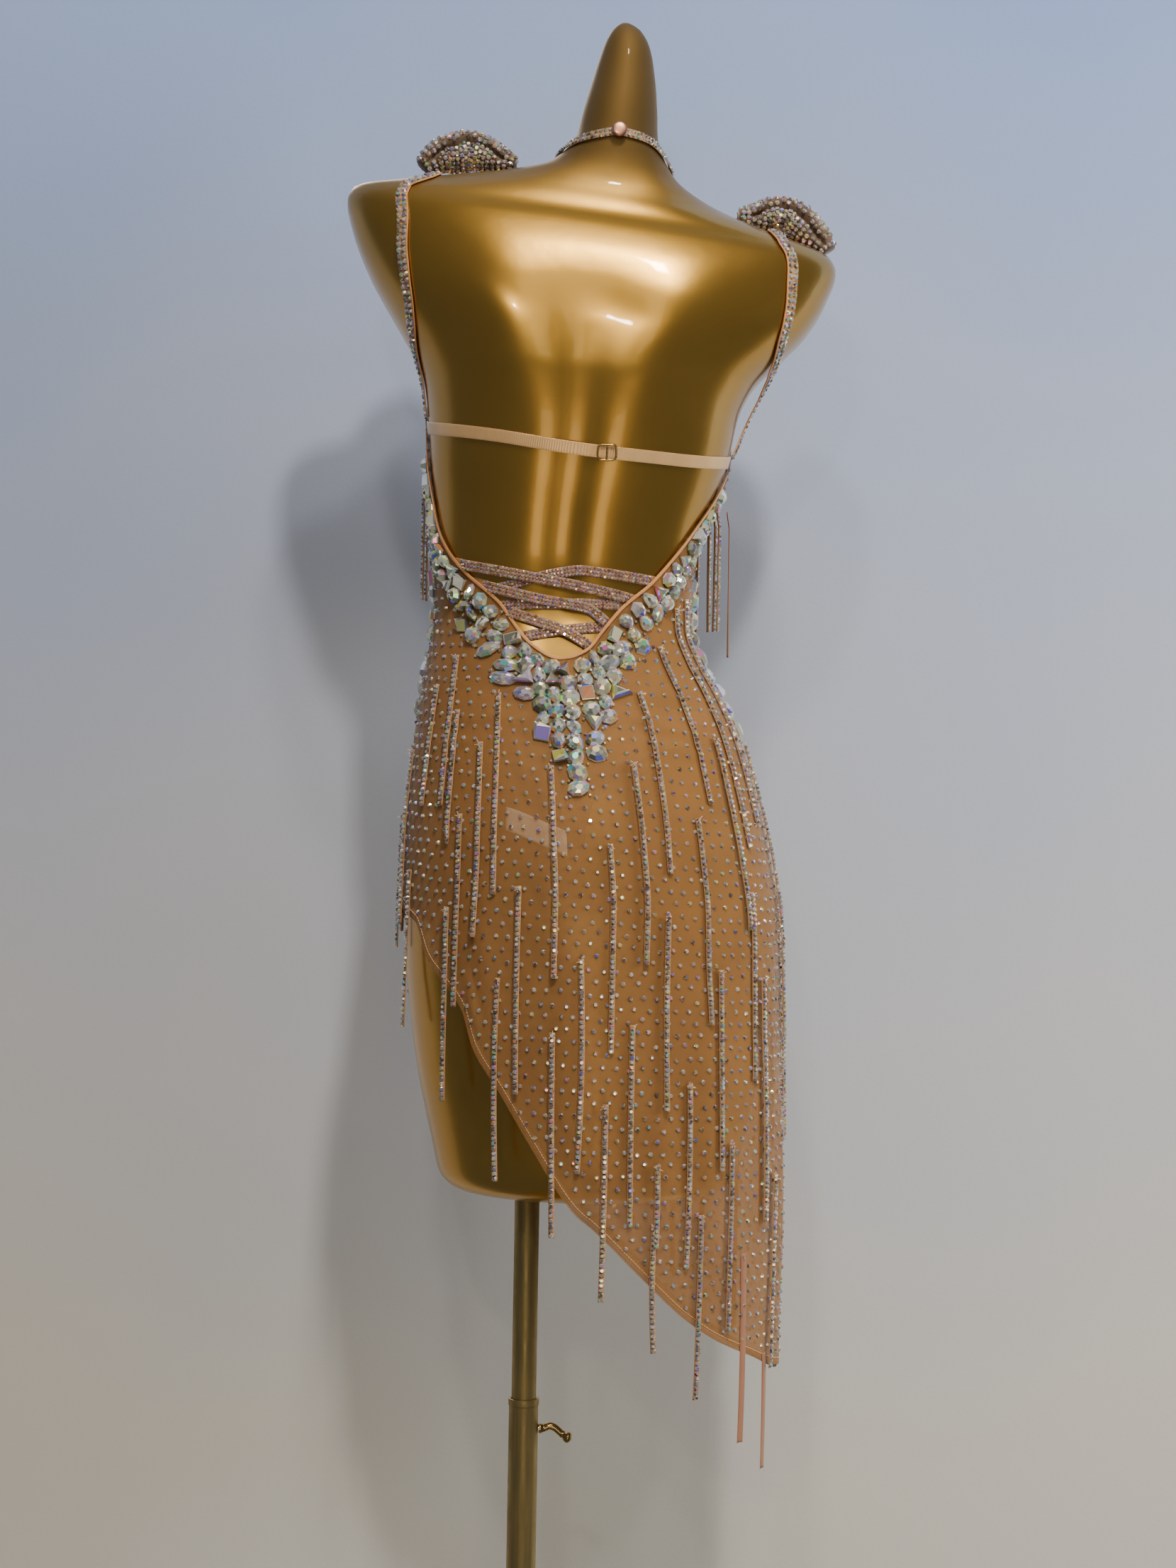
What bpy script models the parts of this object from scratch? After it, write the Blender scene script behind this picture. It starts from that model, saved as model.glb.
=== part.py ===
"""Salsa dance dress on a limbless dress form, in metres, +Z up.

The wearer's back faces -Y and the right-hand side of the body is +X. The stand's pole is the Z axis and the
underside of its base is z = 0. Everything on the body is placed by an angle round it and a height up it:
angle 0 is the middle of the back, +90 the right side seam, 180 the middle of the front, -90 the left side seam.
"""
import math

import bmesh
import bpy
import numpy as np

# ---------------------------------------------------------------- driving sizes
GAP = 0.0003            # between pieces that touch
CLOTH = 0.0010          # one layer of stretch mesh
CLEAR = 0.0009          # form to the first layer, more than the facets of either bow in
SIT = 0.0006            # what is sewn on a panel clears its facets by this
BRIEF_LAYERS = 0.0031   # how much further out the skirt runs where the brief and its label lie under it
BRIEF_TOP = 1.138       # top edge of the brief

POLE_R = 0.0105
SLEEVE_R = 0.0125
SLEEVE_BORE = 0.0108
SLEEVE_TOP = 0.5475
POLE_FOOT = 0.3900      # how far down the inner pole reaches
BASE_R = 0.190
SOCKET_TOP = 0.052

PANEL_COLUMNS = 18      # facets across a half of the body, shared by every layer
BACK_ROWS = 21
FRONT_ROWS = 17
ROW_STEPS = (  # up to a height, rows of points this far apart: closest where the waist curves in
    (0.93, 0.070), (1.15, 0.022), (1.27, 0.012), (1.50, 0.020),
)
CRYSTAL_PITCH = 0.0130
FRONT_PITCH = 0.0165
CRYSTAL_RISE = 0.0032
STRAND_WIDTH = 0.0048
STRAND_THICK = 0.0010
TAPE_HEIGHT = 0.0045
TAPE_THICK = 0.0008

# ---------------------------------------------------------------- the form and the hang of the skirt
# tilt: degrees that the section drops towards +X; square: exponent of the section's superellipse
SECTIONS = (  # height, centre, half, tilt, back, front, square
    (0.7215, 0.0500, 0.0600, 0.0, 0.045, 0.040, 2.2),
    (0.7235, 0.0500, 0.0900, 0.0, 0.068, 0.062, 2.2),
    (0.7300, 0.0500, 0.1150, 0.0, 0.085, 0.078, 2.3),
    (0.7420, 0.0500, 0.1255, 0.0, 0.094, 0.087, 2.3),
    (0.7600, 0.0500, 0.1300, 0.0, 0.099, 0.092, 2.3),
    (0.7900, 0.0497, 0.1365, 0.0, 0.103, 0.096, 2.3),
    (0.8200, 0.0496, 0.1430, 0.0, 0.107, 0.099, 2.3),
    (0.8700, 0.0490, 0.1505, 1.0, 0.113, 0.101, 2.3),
    (0.9200, 0.0490, 0.1555, 2.8, 0.119, 0.101, 2.3),
    (0.9700, 0.0490, 0.1560, 4.8, 0.123, 0.101, 2.3),
    (1.0200, 0.0460, 0.1515, 5.3, 0.120, 0.102, 2.3),
    (1.0700, 0.0420, 0.1430, 4.8, 0.110, 0.102, 2.3),
    (1.1160, 0.0375, 0.1330, 4.3, 0.095, 0.100, 2.3),
    (1.1500, 0.0320, 0.1225, 4.2, 0.083, 0.096, 2.3),
    (1.1800, 0.0260, 0.1135, 4.5, 0.074, 0.092, 2.3),
    (1.2100, 0.0220, 0.1075, 4.8, 0.069, 0.090, 2.3),
    (1.2470, 0.0210, 0.1085, 5.2, 0.071, 0.094, 2.3),
    (1.2900, 0.0240, 0.1140, 5.2, 0.079, 0.101, 2.3),
    (1.3250, 0.0285, 0.1220, 5.0, 0.087, 0.104, 2.3),
    (1.3600, 0.0330, 0.1280, 4.8, 0.094, 0.102, 2.3),
    (1.3920, 0.0345, 0.1335, 4.4, 0.099, 0.096, 2.3),
    (1.4150, 0.0355, 0.1430, 4.4, 0.101, 0.090, 2.3),
    (1.4460, 0.0380, 0.1660, 5.3, 0.100, 0.082, 2.4),
    (1.4730, 0.0390, 0.1860, 6.4, 0.096, 0.073, 2.5),
    (1.5050, 0.0395, 0.2020, 7.2, 0.086, 0.063, 2.5),
    (1.5330, 0.0405, 0.2095, 7.4, 0.071, 0.052, 2.5),
    (1.5450, 0.0405, 0.2045, 7.5, 0.062, 0.047, 2.4),
    (1.5570, 0.0420, 0.1620, 7.8, 0.056, 0.043, 2.3),
    (1.5660, 0.0450, 0.1230, 8.2, 0.051, 0.041, 2.2),
    (1.5750, 0.0510, 0.0890, 8.4, 0.047, 0.040, 2.1),
    (1.5890, 0.0570, 0.0560, 7.5, 0.044, 0.041, 2.0),
    (1.6070, 0.0600, 0.0400, 5.5, 0.043, 0.042, 2.0),
    (1.6190, 0.0611, 0.0345, 3.5, 0.041, 0.043, 2.0),
    (1.6420, 0.0632, 0.0313, 1.5, 0.037, 0.041, 2.0),
    (1.6700, 0.0659, 0.0261, 0.0, 0.029, 0.035, 2.0),
    (1.6970, 0.0675, 0.0193, 0.0, 0.020, 0.026, 2.0),
    (1.7110, 0.0670, 0.0115, 0.0, 0.011, 0.016, 2.0),
    (1.7165, 0.0660, 0.0040, 0.0, 0.003, 0.007, 2.0),
)
HIP = 0.97  # below this the skirt hangs by itself, clear of the form
SKIRT_SECTIONS = (  # height, centre, half, tilt, back, front, square
    (0.4800, 0.0500, 0.1585, 0.0, 0.106, 0.092, 2.3),
    (0.6200, 0.0505, 0.1590, 0.0, 0.113, 0.098, 2.3),
    (0.7200, 0.0505, 0.1592, 0.5, 0.118, 0.101, 2.3),
    (0.8000, 0.0500, 0.1590, 1.5, 0.1215, 0.103, 2.3),
    (0.8700, 0.0495, 0.1582, 2.8, 0.1235, 0.103, 2.3),
    (0.9200, 0.0492, 0.1570, 3.8, 0.1240, 0.102, 2.3),
)
FORM_RINGS = (  # heights between two sections where the form needs one more ring of points
    1.133, 1.165, 1.195, 1.2285, 1.2590, 1.2730, 1.3075, 1.3425, 1.3760, 1.5510, 1.5980,
)
FORM_SKIPS = (0.7235, 0.7900, 0.9700, 1.0700, 1.6420, 1.7110)   # sections the form's facets do without

# ---------------------------------------------------------------- edges of the pieces, angle in degrees
BACK_NECK = (  # angle, height
    (-90, 1.368), (-79, 1.315), (-69, 1.276), (-60, 1.259), (-46, 1.240), (-26, 1.2165), (-12, 1.183),
    (-3, 1.1725), (5, 1.180), (13.5, 1.198), (24.5, 1.2225), (41, 1.2475), (61.5, 1.2875), (78, 1.325), (90, 1.350),
)
HEM = (  # angle, height
    (-90, 0.958), (-75, 0.951), (-61, 0.9425), (-52, 0.914), (-44, 0.899), (-35, 0.8776), (-31, 0.850),
    (-22, 0.8166), (-12, 0.772), (-2, 0.724), (5.6, 0.6976), (15, 0.6687), (27, 0.638), (39, 0.618),
    (55, 0.602), (70, 0.590), (90, 0.582),
)
FRONT_DROP = 0.030      # how much longer the front skirt is than the back one
UNDERBUST = 1.262
CUP_TOP = (  # angle, height
    (90, 1.350), (102, 1.372), (115, 1.392), (128, 1.402), (145, 1.378), (162, 1.335), (180, 1.292),
    (198, 1.335), (215, 1.378), (232, 1.402), (245, 1.396), (258, 1.385), (270, 1.368),
)
BRIEF_HEM = (  # angle, height
    (-80, 1.090), (-60, 1.060), (-40, 1.020), (-20, 0.995), (-4, 0.990), (-0.8, 1.006), (0.5, 1.050),
    (12.7, 1.087), (30, 1.105), (60, 1.115), (80, 1.118),
)
LABEL_EDGES = (  # angle, top, bottom
    (-22.5, 1.0440, 1.0250), (-20.0, 1.0430, 1.0236), (-10.0, 1.0350, 1.0150), (-4.5, 1.0300, 1.0098),
)

CRYSTAL_DEPTH_BACK = (  # angle, depth below the neck edge
    (-88, 0.013), (-75, 0.022), (-60, 0.022), (-45, 0.028), (-30, 0.034), (-20, 0.046), (-12, 0.065),
    (-6, 0.090), (-1, 0.113), (4, 0.090), (9, 0.066), (16, 0.046), (25, 0.034), (42, 0.026), (60, 0.022),
    (75, 0.020), (88, 0.013),
)
CRYSTAL_DEPTH_FRONT = (  # angle, depth below the underbust seam
    (92, 0.150), (101, 0.130), (108, 0.060), (116, 0.030), (150, 0.016), (165, 0.046), (180, 0.090),
    (195, 0.046), (210, 0.016), (244, 0.030), (252, 0.060), (259, 0.130), (268, 0.150),
)

# ---------------------------------------------------------------- bands: angle, height, stand-off
STRAP_LEFT = (
    (-86.5, 1.368, 0), (-84, 1.390, 0), (-76, 1.416, 0), (-62.6, 1.4396, 0), (-53.6, 1.4637, 0), (-48.8, 1.490, 0),
    (-45.3, 1.5195, 0), (-46.8, 1.5450, 0), (-53, 1.5545, 0), (-66, 1.5605, 0), (-90, 1.5625, 0),
    (-114, 1.5605, 0), (-127, 1.5545, 0), (-134, 1.5450, 0), (-136, 1.520, 0), (-134, 1.490, 0), (-131, 1.460, 0),
    (-129, 1.432, 0), (-128, 1.4040, 0),
)
STRAP_RIGHT = (
    (88, 1.360, 0.001), (90, 1.376, 0.004), (90, 1.396, 0.007), (89, 1.416, 0.007), (84, 1.430, 0.004),
    (76, 1.441, 0.001), (63, 1.4632, 0), (55.4, 1.492, 0), (50.3, 1.5234, 0), (48.5, 1.5445, 0), (56, 1.5525, 0),
    (67, 1.556, 0), (90, 1.5575, 0), (113, 1.556, 0), (124, 1.5525, 0), (131.5, 1.5445, 0), (133, 1.520, 0),
    (132, 1.490, 0), (130, 1.460, 0), (128.5, 1.432, 0), (128, 1.4040, 0),
)
BRA_STRAP = (
    (-85, 1.3586, 0), (-80, 1.3568, 0), (-29, 1.3488, 0), (9, 1.3434, 0), (37, 1.3449, 0), (76, 1.3522, 0),
    (84, 1.3545, 0),
)
CHOKER = (  # right round the neck, low at the front
    (0, 1.6150, 0), (45, 1.6120, 0), (90, 1.5990, 0), (135, 1.5900, 0), (180, 1.5870, 0), (225, 1.5900, 0),
    (270, 1.5990, 0), (315, 1.6080, 0), (360, 1.6150, 0),
)
LACES = {  # name: layer, then angle, height of its points; the second layer crosses over the first
    "lacing_1": (2, (-43.5, 1.2428), (-18.5, 1.2390), (2.8, 1.2348), (24.0, 1.2296)),
    "lacing_2": (1, (35.5, 1.2460), (7.1, 1.2473), (-6.3, 1.2391)),
    "lacing_3": (2, (-25.0, 1.2250), (-6.4, 1.2199), (8.2, 1.2166), (15.5, 1.2075)),
    "lacing_4": (1, (20.5, 1.2220), (6.0, 1.2197), (-10.1, 1.2157)),
    "lacing_5": (2, (-16.0, 1.2050), (-1.8, 1.1971), (5.0, 1.1880)),
    "lacing_6": (1, (11.5, 1.2010), (5.5, 1.1990), (-8.5, 1.1912)),
}

# ---------------------------------------------------------------- fringe: angle, top, end
FRINGE = {  # name: layer, then a row for each strand, from left to right
    "fringe_back_1": (1, (-59, 1.139, 1.036), (-48, 1.165, 1.038), (-26, 1.135, 0.974)),
    "fringe_back_2": (1, (22, 1.146, 1.003), (41, 1.188, 1.062), (58, 1.224, 1.032), (68.5, 1.232, 1.050)),
    "fringe_back_3": (2, (-72, 1.082, 0.940), (-43.5, 1.118, 1.011), (-32, 1.092, 0.938), (-8, 1.078, 0.914)),
    "fringe_back_4": (2, (14, 1.087, 0.931), (51, 1.113, 0.965), (76, 1.110, 0.966)),
    "fringe_back_5": (1, (-80, 1.026, 0.920), (-66, 0.982, 0.861), (-39, 1.032, 0.881), (5, 1.021, 0.854),
                      (34, 1.048, 0.883), (54, 0.992, 0.834), (84, 0.990, 0.775)),
    "fringe_back_6": (2, (-43, 0.957, 0.807), (-18, 0.980, 0.819), (20, 0.968, 0.811), (38, 0.926, 0.759),
                      (58.5, 0.920, 0.715), (79, 0.955, 0.868)),
    "fringe_back_7": (1, (-24, 0.906, 0.749), (-1.5, 0.927, 0.756), (10, 0.877, 0.715), (27, 0.830, 0.679)),
    "fringe_back_8": (2, (-8, 0.867, 0.706), (3.5, 0.812, 0.654), (17, 0.764, 0.700), (42, 0.781, 0.626),
                      (66, 0.751, 0.590)),
    "fringe_back_9": (1, (16.4, 0.714, 0.613), (31, 0.722, 0.574)),
    "fringe_front_1": (2, (103, 1.082, 0.950), (121, 1.120, 0.975), (152, 1.105, 0.950)),
    "fringe_front_2": (2, (205, 1.110, 0.970), (233, 1.110, 0.960), (257, 1.080, 0.930)),
    "fringe_front_3": (1, (97, 1.000, 0.790), (127, 1.030, 0.850), (151, 1.010, 0.860), (174, 1.050, 0.880),
                       (197, 1.036, 0.870), (224, 1.010, 0.870), (249, 1.000, 0.880)),
    "fringe_front_4": (2, (109, 0.950, 0.760), (135, 0.930, 0.740), (164, 0.950, 0.790), (190, 0.955, 0.800),
                       (216, 0.950, 0.815)),
    "fringe_front_5": (1, (117, 0.850, 0.690), (145, 0.845, 0.680), (172, 0.850, 0.710), (201, 0.880, 0.735)),
    "fringe_front_6": (2, (104, 0.745, 0.590), (130, 0.760, 0.600), (155, 0.765, 0.640)),
}
BUST_FRINGE = {  # name: angles of the strands, which hang straight down from the cups
    "fringe_cup_right": (97, 104, 112, 122, 134, 147, 160),
    "fringe_cup_left": (200, 213, 226, 238, 248, 256, 263),
}
BUST_FRINGE_TOP = 1.318
BUST_FRINGE_DROP = 0.100
PLAIN_STRIPS = {  # name: angle, top, end, extra stand-off: bare mesh strips with no stones
    "plain_strip_side": (93.0, 1.318, 1.196, 0.010),
    "plain_strip_tail_1": (49.0, 0.687, 0.533, 0.0),
    "plain_strip_tail_2": (63.5, 0.600, 0.505, 0.0),
}


# ---------------------------------------------------------------- curves and surfaces
def spline(table):
    """A smooth curve through a table's rows that never overshoots them, as a function of its first column."""
    rows = np.array(table, dtype=float)
    keys, values = rows[:, 0], rows[:, 1:]
    slopes = np.diff(values, axis=0) / np.diff(keys)[:, None]
    product = slopes[:-1] * slopes[1:]
    total = np.where(product > 0, slopes[:-1] + slopes[1:], 1.0)
    inner = np.where(product > 0, 2 * product / total, 0.0)
    tangents = np.vstack((slopes[:1], inner, slopes[-1:]))

    def at(key):
        key = min(max(key, keys[0]), keys[-1])
        i = min(max(int(np.searchsorted(keys, key)) - 1, 0), len(keys) - 2)
        width = keys[i + 1] - keys[i]
        u = (key - keys[i]) / width
        return (
            (2 * u**3 - 3 * u**2 + 1) * values[i]
            + (u**3 - 2 * u**2 + u) * width * tangents[i]
            + (3 * u**2 - 2 * u**3) * values[i + 1]
            + (u**3 - u**2) * width * tangents[i + 1]
        )

    return at


form_section = spline(SECTIONS)
dress_section = spline(SKIRT_SECTIONS + tuple(row for row in SECTIONS if row[0] >= HIP))
neck_height = spline(BACK_NECK)
hem_height = spline(HEM)
cup_height = spline(CUP_TOP)
brief_height = spline(BRIEF_HEM)


def body_point(section, angle, height, groove=True):
    """The point of the body's skin at an angle in degrees and a height."""
    centre, half, tilt, back, front, square = section(height)
    turn = math.radians(angle)
    side, facing = math.sin(turn), math.cos(turn)
    share = math.copysign(abs(side) ** (2 / square), side)
    depth = abs(facing) ** (2 / square)
    across = half * share
    if facing > 0:
        blade = 0.005 * math.exp(-(((abs(share) - 0.42) / 0.2) ** 2) - ((height - 1.45) / 0.06) ** 2)
        spine = 0.007 * math.exp(-((share / 0.11) ** 2) - ((height - 1.33) / 0.13) ** 4)
        y = -back * depth - blade + (spine if groove else 0)
    else:
        bust = 0.030 * math.exp(-(((abs(across) - 0.066) / 0.048) ** 2) - ((height - 1.325) / 0.053) ** 2)
        y = front * depth + bust
    lean = math.radians(tilt)
    return np.array((centre + across * math.cos(lean), y, height - across * math.sin(lean)))


def normal_at(section, angle, height):
    step_a, step_h = 0.4, 0.0015
    round_body = body_point(section, angle + step_a, height, False) - body_point(section, angle - step_a, height, False)
    up_body = body_point(section, angle, height + step_h, False) - body_point(section, angle, height - step_h, False)
    normal = np.cross(round_body, up_body)
    return normal / np.linalg.norm(normal)


def lifted(section, angle, height, lift, groove=False):
    return body_point(section, angle, height, groove) + lift * normal_at(section, angle, height)


def under(height):
    """How far the inside of the dress lies from the skin: further where the brief and its label lie between."""
    share = min(max((BRIEF_TOP + 0.062 - height) / 0.060, 0), 1)
    return CLEAR + BRIEF_LAYERS * share * share * (3 - 2 * share)


def fuller(height):
    """How much further out the inside of a cup lies than the rest of the dress does."""
    return 0.0018 * math.exp(-(((height - 1.325) / 0.05) ** 2))


def on_dress(angle, height, lift):
    """A point lifted off the outside of the dress."""
    cup = fuller(height) if angle > 90 and height > UNDERBUST else 0
    return lifted(dress_section, angle, height, under(height) + cup + CLOTH + lift)


def hem_at(angle):
    if abs(angle) <= 90:
        return float(hem_height(angle)[0])
    longer = FRONT_DROP * abs(math.cos(math.radians(angle))) ** 0.5
    return float(hem_height(180 - angle)[0]) - longer


def seam_angle(half_gap=GAP / 2):
    """Half the angle that leaves a gap at a side seam, where the section's sides run straight back."""
    return math.degrees((half_gap / 0.10) ** (2.3 / 2))


def along(points, count):
    """Points evenly spaced by angle on a smooth curve whose angle only rises."""
    rows = sorted(points)
    at = spline(rows)
    return [(a, *at(a)) for a in np.linspace(rows[0][0], rows[-1][0], count)]


def through(points, count, closed=False):
    """A smooth curve through points, as an array of count points."""
    rows = np.array(points, dtype=float)
    if closed:
        rows = np.vstack((rows[-2:], rows, rows[:3]))
        first, last = 2, len(rows) - 3
    else:
        rows = np.vstack((2 * rows[0] - rows[1], rows, 2 * rows[-1] - rows[-2]))
        first, last = 1, len(rows) - 2
    out = []
    for t in np.linspace(first, last, count, endpoint=not closed):
        i = min(int(t), last - 1)
        u = t - i
        a, b, c, d = rows[i - 1:i + 3]
        out.append(0.5 * (2 * b + (c - a) * u + (2 * a - 5 * b + 4 * c - d) * u * u + (3 * b - a - 3 * c + d) * u**3))
    return np.array(out)


# ---------------------------------------------------------------- meshes
def linear(code):
    parts = [int(code[i:i + 2], 16) / 255 for i in (0, 2, 4)]
    return tuple(c / 12.92 if c <= 0.04045 else ((c + 0.055) / 1.055) ** 2.4 for c in parts)


def finish(name, colour, roughness, metallic):
    material = bpy.data.materials.new(name)
    material.use_nodes = True
    shader = material.node_tree.nodes["Principled BSDF"]
    shader.inputs["Base Color"].default_value = (*linear(colour), 1)
    shader.inputs["Roughness"].default_value = roughness
    shader.inputs["Metallic"].default_value = metallic
    material.diffuse_color = (*linear(colour), 1)
    return material


def build(name, points, faces, material):
    """A named object from points and faces, with its faces turned outwards."""
    mesh = bpy.data.meshes.new(name)
    shape = bmesh.new()
    corners = [shape.verts.new(point) for point in points]
    for face in faces:
        shape.faces.new([corners[i] for i in face])
    bmesh.ops.recalc_face_normals(shape, faces=shape.faces)
    bmesh.ops.triangulate(shape, faces=shape.faces)
    shape.to_mesh(mesh)
    shape.free()
    mesh.shade_smooth()
    mesh.set_sharp_from_angle(angle=math.radians(40))
    mesh.materials.append(material)
    thing = bpy.data.objects.new(name, mesh)
    bpy.context.scene.collection.objects.link(thing)
    return thing


def rings(name, loops, material, around=False):
    """A closed body through loops of points: capped at both ends, or joined round into a ring."""
    count, size = len(loops), len(loops[0])
    points = [tuple(p) for loop in loops for p in loop]
    faces = []
    for i in range(count if around else count - 1):
        j = (i + 1) % count
        for k in range(size):
            n = (k + 1) % size
            faces.append((i * size + k, i * size + n, j * size + n, j * size + k))
    if not around:
        faces += [tuple(range(size)), tuple((count - 1) * size + k for k in range(size))]
    return build(name, points, faces, material)


def turned(name, profile, material, segments=28):
    """A profile of radius, height turned round the Z axis, closed on itself or at the axis."""
    points, faces, where = [], [], []
    for radius, height in profile:
        if radius == 0:
            where.append([len(points)] * segments)
            points.append((0, 0, height))
            continue
        where.append(list(range(len(points), len(points) + segments)))
        for k in range(segments):
            turn = 2 * math.pi * k / segments
            points.append((radius * math.cos(turn), radius * math.sin(turn), height))
    pairs = list(zip(where, where[1:]))
    if profile[0][0] and profile[-1][0]:
        pairs.append((where[-1], where[0]))
    for low, high in pairs:
        for k in range(segments):
            n = (k + 1) % segments
            corners = [low[k], low[n], high[n], high[k]]
            faces.append(tuple(dict.fromkeys(corners)))
    return build(name, points, faces, material)


def wall(name, cells, inner, outer, material, studs=()):
    """A wall of cells between two grids of points; a stud raises a cell's outer face into a cut stone.

    cells holds (column, row); inner and outer map (column, row) to a point; studs maps a cell to its rise."""
    points, faces, seen = [], [], {}

    def corner(layer, key):
        if (layer, key) not in seen:
            seen[layer, key] = len(points)
            points.append(tuple((inner, outer)[layer](key)))
        return seen[layer, key]

    edges = {}
    for cell in cells:
        c, r = cell
        keys = ((c, r), (c + 1, r), (c + 1, r + 1), (c, r + 1))
        low = [corner(0, key) for key in keys]
        high = [corner(1, key) for key in keys]
        faces.append(tuple(reversed(low)))
        if cell in studs:
            rise, share = studs[cell]
            ring = [np.array(points[i]) for i in high]
            middle = sum(ring) / 4
            up = np.cross(ring[2] - ring[0], ring[3] - ring[1])
            base = sum(np.array(points[i]) for i in low) / 4
            up *= math.copysign(1, float(np.dot(up, middle - base))) / np.linalg.norm(up)
            top = len(points)
            points.extend(tuple(middle + (p - middle) * share + up * rise) for p in ring)
            faces.extend((high[k], high[(k + 1) % 4], top + (k + 1) % 4, top + k) for k in range(4))
            faces.append(tuple(range(top, top + 4)))
        else:
            faces.append(tuple(high))
        for k in range(4):
            edge = (keys[k], keys[(k + 1) % 4])
            if edge[::-1] in edges:
                del edges[edge[::-1]]
            else:
                edges[edge] = True
    for a, b in edges:
        faces.append((corner(0, a), corner(0, b), corner(1, b), corner(1, a)))
    return build(name, points, faces, material)


def on_facet(section, angle, height, lift):
    """A point lifted off the flat facet that lies between two of the shared columns."""
    step = 180 / PANEL_COLUMNS
    first = math.floor(angle / step + 1e-9) * step
    share = (angle - first) / step
    start = lifted(section, first, height, lift)
    return start + share * (lifted(section, first + step, height, lift) - start) if share > 1e-9 else start


def row_table():
    heights, counts = [0.40], [0.0]
    for top, step in ROW_STEPS:
        counts.append(counts[-1] + (top - heights[-1]) / step)
        heights.append(top)
    return heights, counts


ROW_HEIGHTS, ROW_COUNTS = row_table()


def row_height(low, high, share):
    """The height a share of the way up a column, with its rows spaced as ROW_STEPS asks."""
    start, stop = np.interp((low, high), ROW_HEIGHTS, ROW_COUNTS)
    return float(np.interp(start + (stop - start) * share, ROW_COUNTS, ROW_HEIGHTS))


def sheet(name, angles, low, high, rows, lifts, material, section=dress_section):
    """A piece of cloth: a column of points at each angle, from its low edge to its high one."""
    cells = [(c, r) for c in range(len(angles) - 1) for r in range(rows)]

    def side(lift):
        def at(key):
            angle = angles[key[0]]
            height = row_height(low(angle), high(angle), key[1] / rows)
            return on_facet(section, angle, height, lift(height))
        return at

    return wall(name, cells, side(lifts[0]), side(lifts[1]), material)


def columns(start, end, step=180 / PANEL_COLUMNS, extra=()):
    """Angles from start to end at every facet line of the form between them."""
    inside = [k * step for k in range(math.ceil(start / step), math.floor(end / step) + 1)]
    keep = [a for a in inside if start + 0.5 < a < end - 0.5]
    return sorted({start, end, *extra, *keep})


def band(name, path, width, lift, thick, material, section=form_section, closed=False, lean=0.0):
    """A flat strap along a path of angle, height, stand-off."""
    centres, outward = [], []
    for angle, height, off in path:
        centres.append(lifted(section, angle, height, lift + off))
        outward.append(normal_at(section, angle, height))
    count = len(centres)
    loops = []
    for i in range(count):
        ahead = centres[(i + 1) % count] if closed or i + 1 < count else centres[i]
        behind = centres[i - 1] if closed or i > 0 else centres[i]
        along = (ahead - behind) / np.linalg.norm(ahead - behind)
        up = outward[i] - along * np.dot(outward[i], along)
        up /= np.linalg.norm(up)
        side = np.cross(up, along) * width / 2
        loops.append([centres[i] - side, centres[i] + side, centres[i] + side + up * thick,
                      centres[i] - side + up * thick])
    return rings(name, loops, material, around=closed)


def sweep(name, centres, radii, material, sides=8, shape=None):
    """A round rod through centres in one vertical plane or near it, its radius given at each; shape scales it."""
    loops = []
    for i, centre in enumerate(centres):
        along = np.array(centres[min(i + 1, len(centres) - 1)]) - np.array(centres[max(i - 1, 0)])
        along = along / np.linalg.norm(along)
        level = np.array((0, 1, 0)) - along * along[1]
        level /= np.linalg.norm(level)
        other = np.cross(along, level)
        loop = []
        for k in range(sides):
            turn = 2 * math.pi * k / sides
            radius = radii[i] * (shape(i / (len(centres) - 1), turn) if shape else 1)
            loop.append(np.array(centre) + radius * (level * math.cos(turn) + other * math.sin(turn)))
        loops.append(loop)
    return rings(name, loops, material)


# ---------------------------------------------------------------- fringe
def strand_loops(centres, outward, width=STRAND_WIDTH, thick=STRAND_THICK):
    """The four corners of a flat strand at each of its centres, which lie on its inner face."""
    loops = []
    for centre, out in zip(centres, outward):
        side = np.cross((0, 0, 1.0), out)
        side = side / np.linalg.norm(side) * width / 2
        loops.append([centre - side, centre + side, centre + side + out * thick, centre - side + out * thick])
    return loops


def strand_heights(top, end):
    """Heights down a strand: close together over the hips, far apart where it hangs straight."""
    heights = [top]
    while heights[-1] > end:
        heights.append(max(end, heights[-1] - (0.030 if heights[-1] > 0.96 else 0.080)))
    if len(heights) > 2 and heights[-2] - heights[-1] < 0.008:
        del heights[-2]
    return heights


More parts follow.
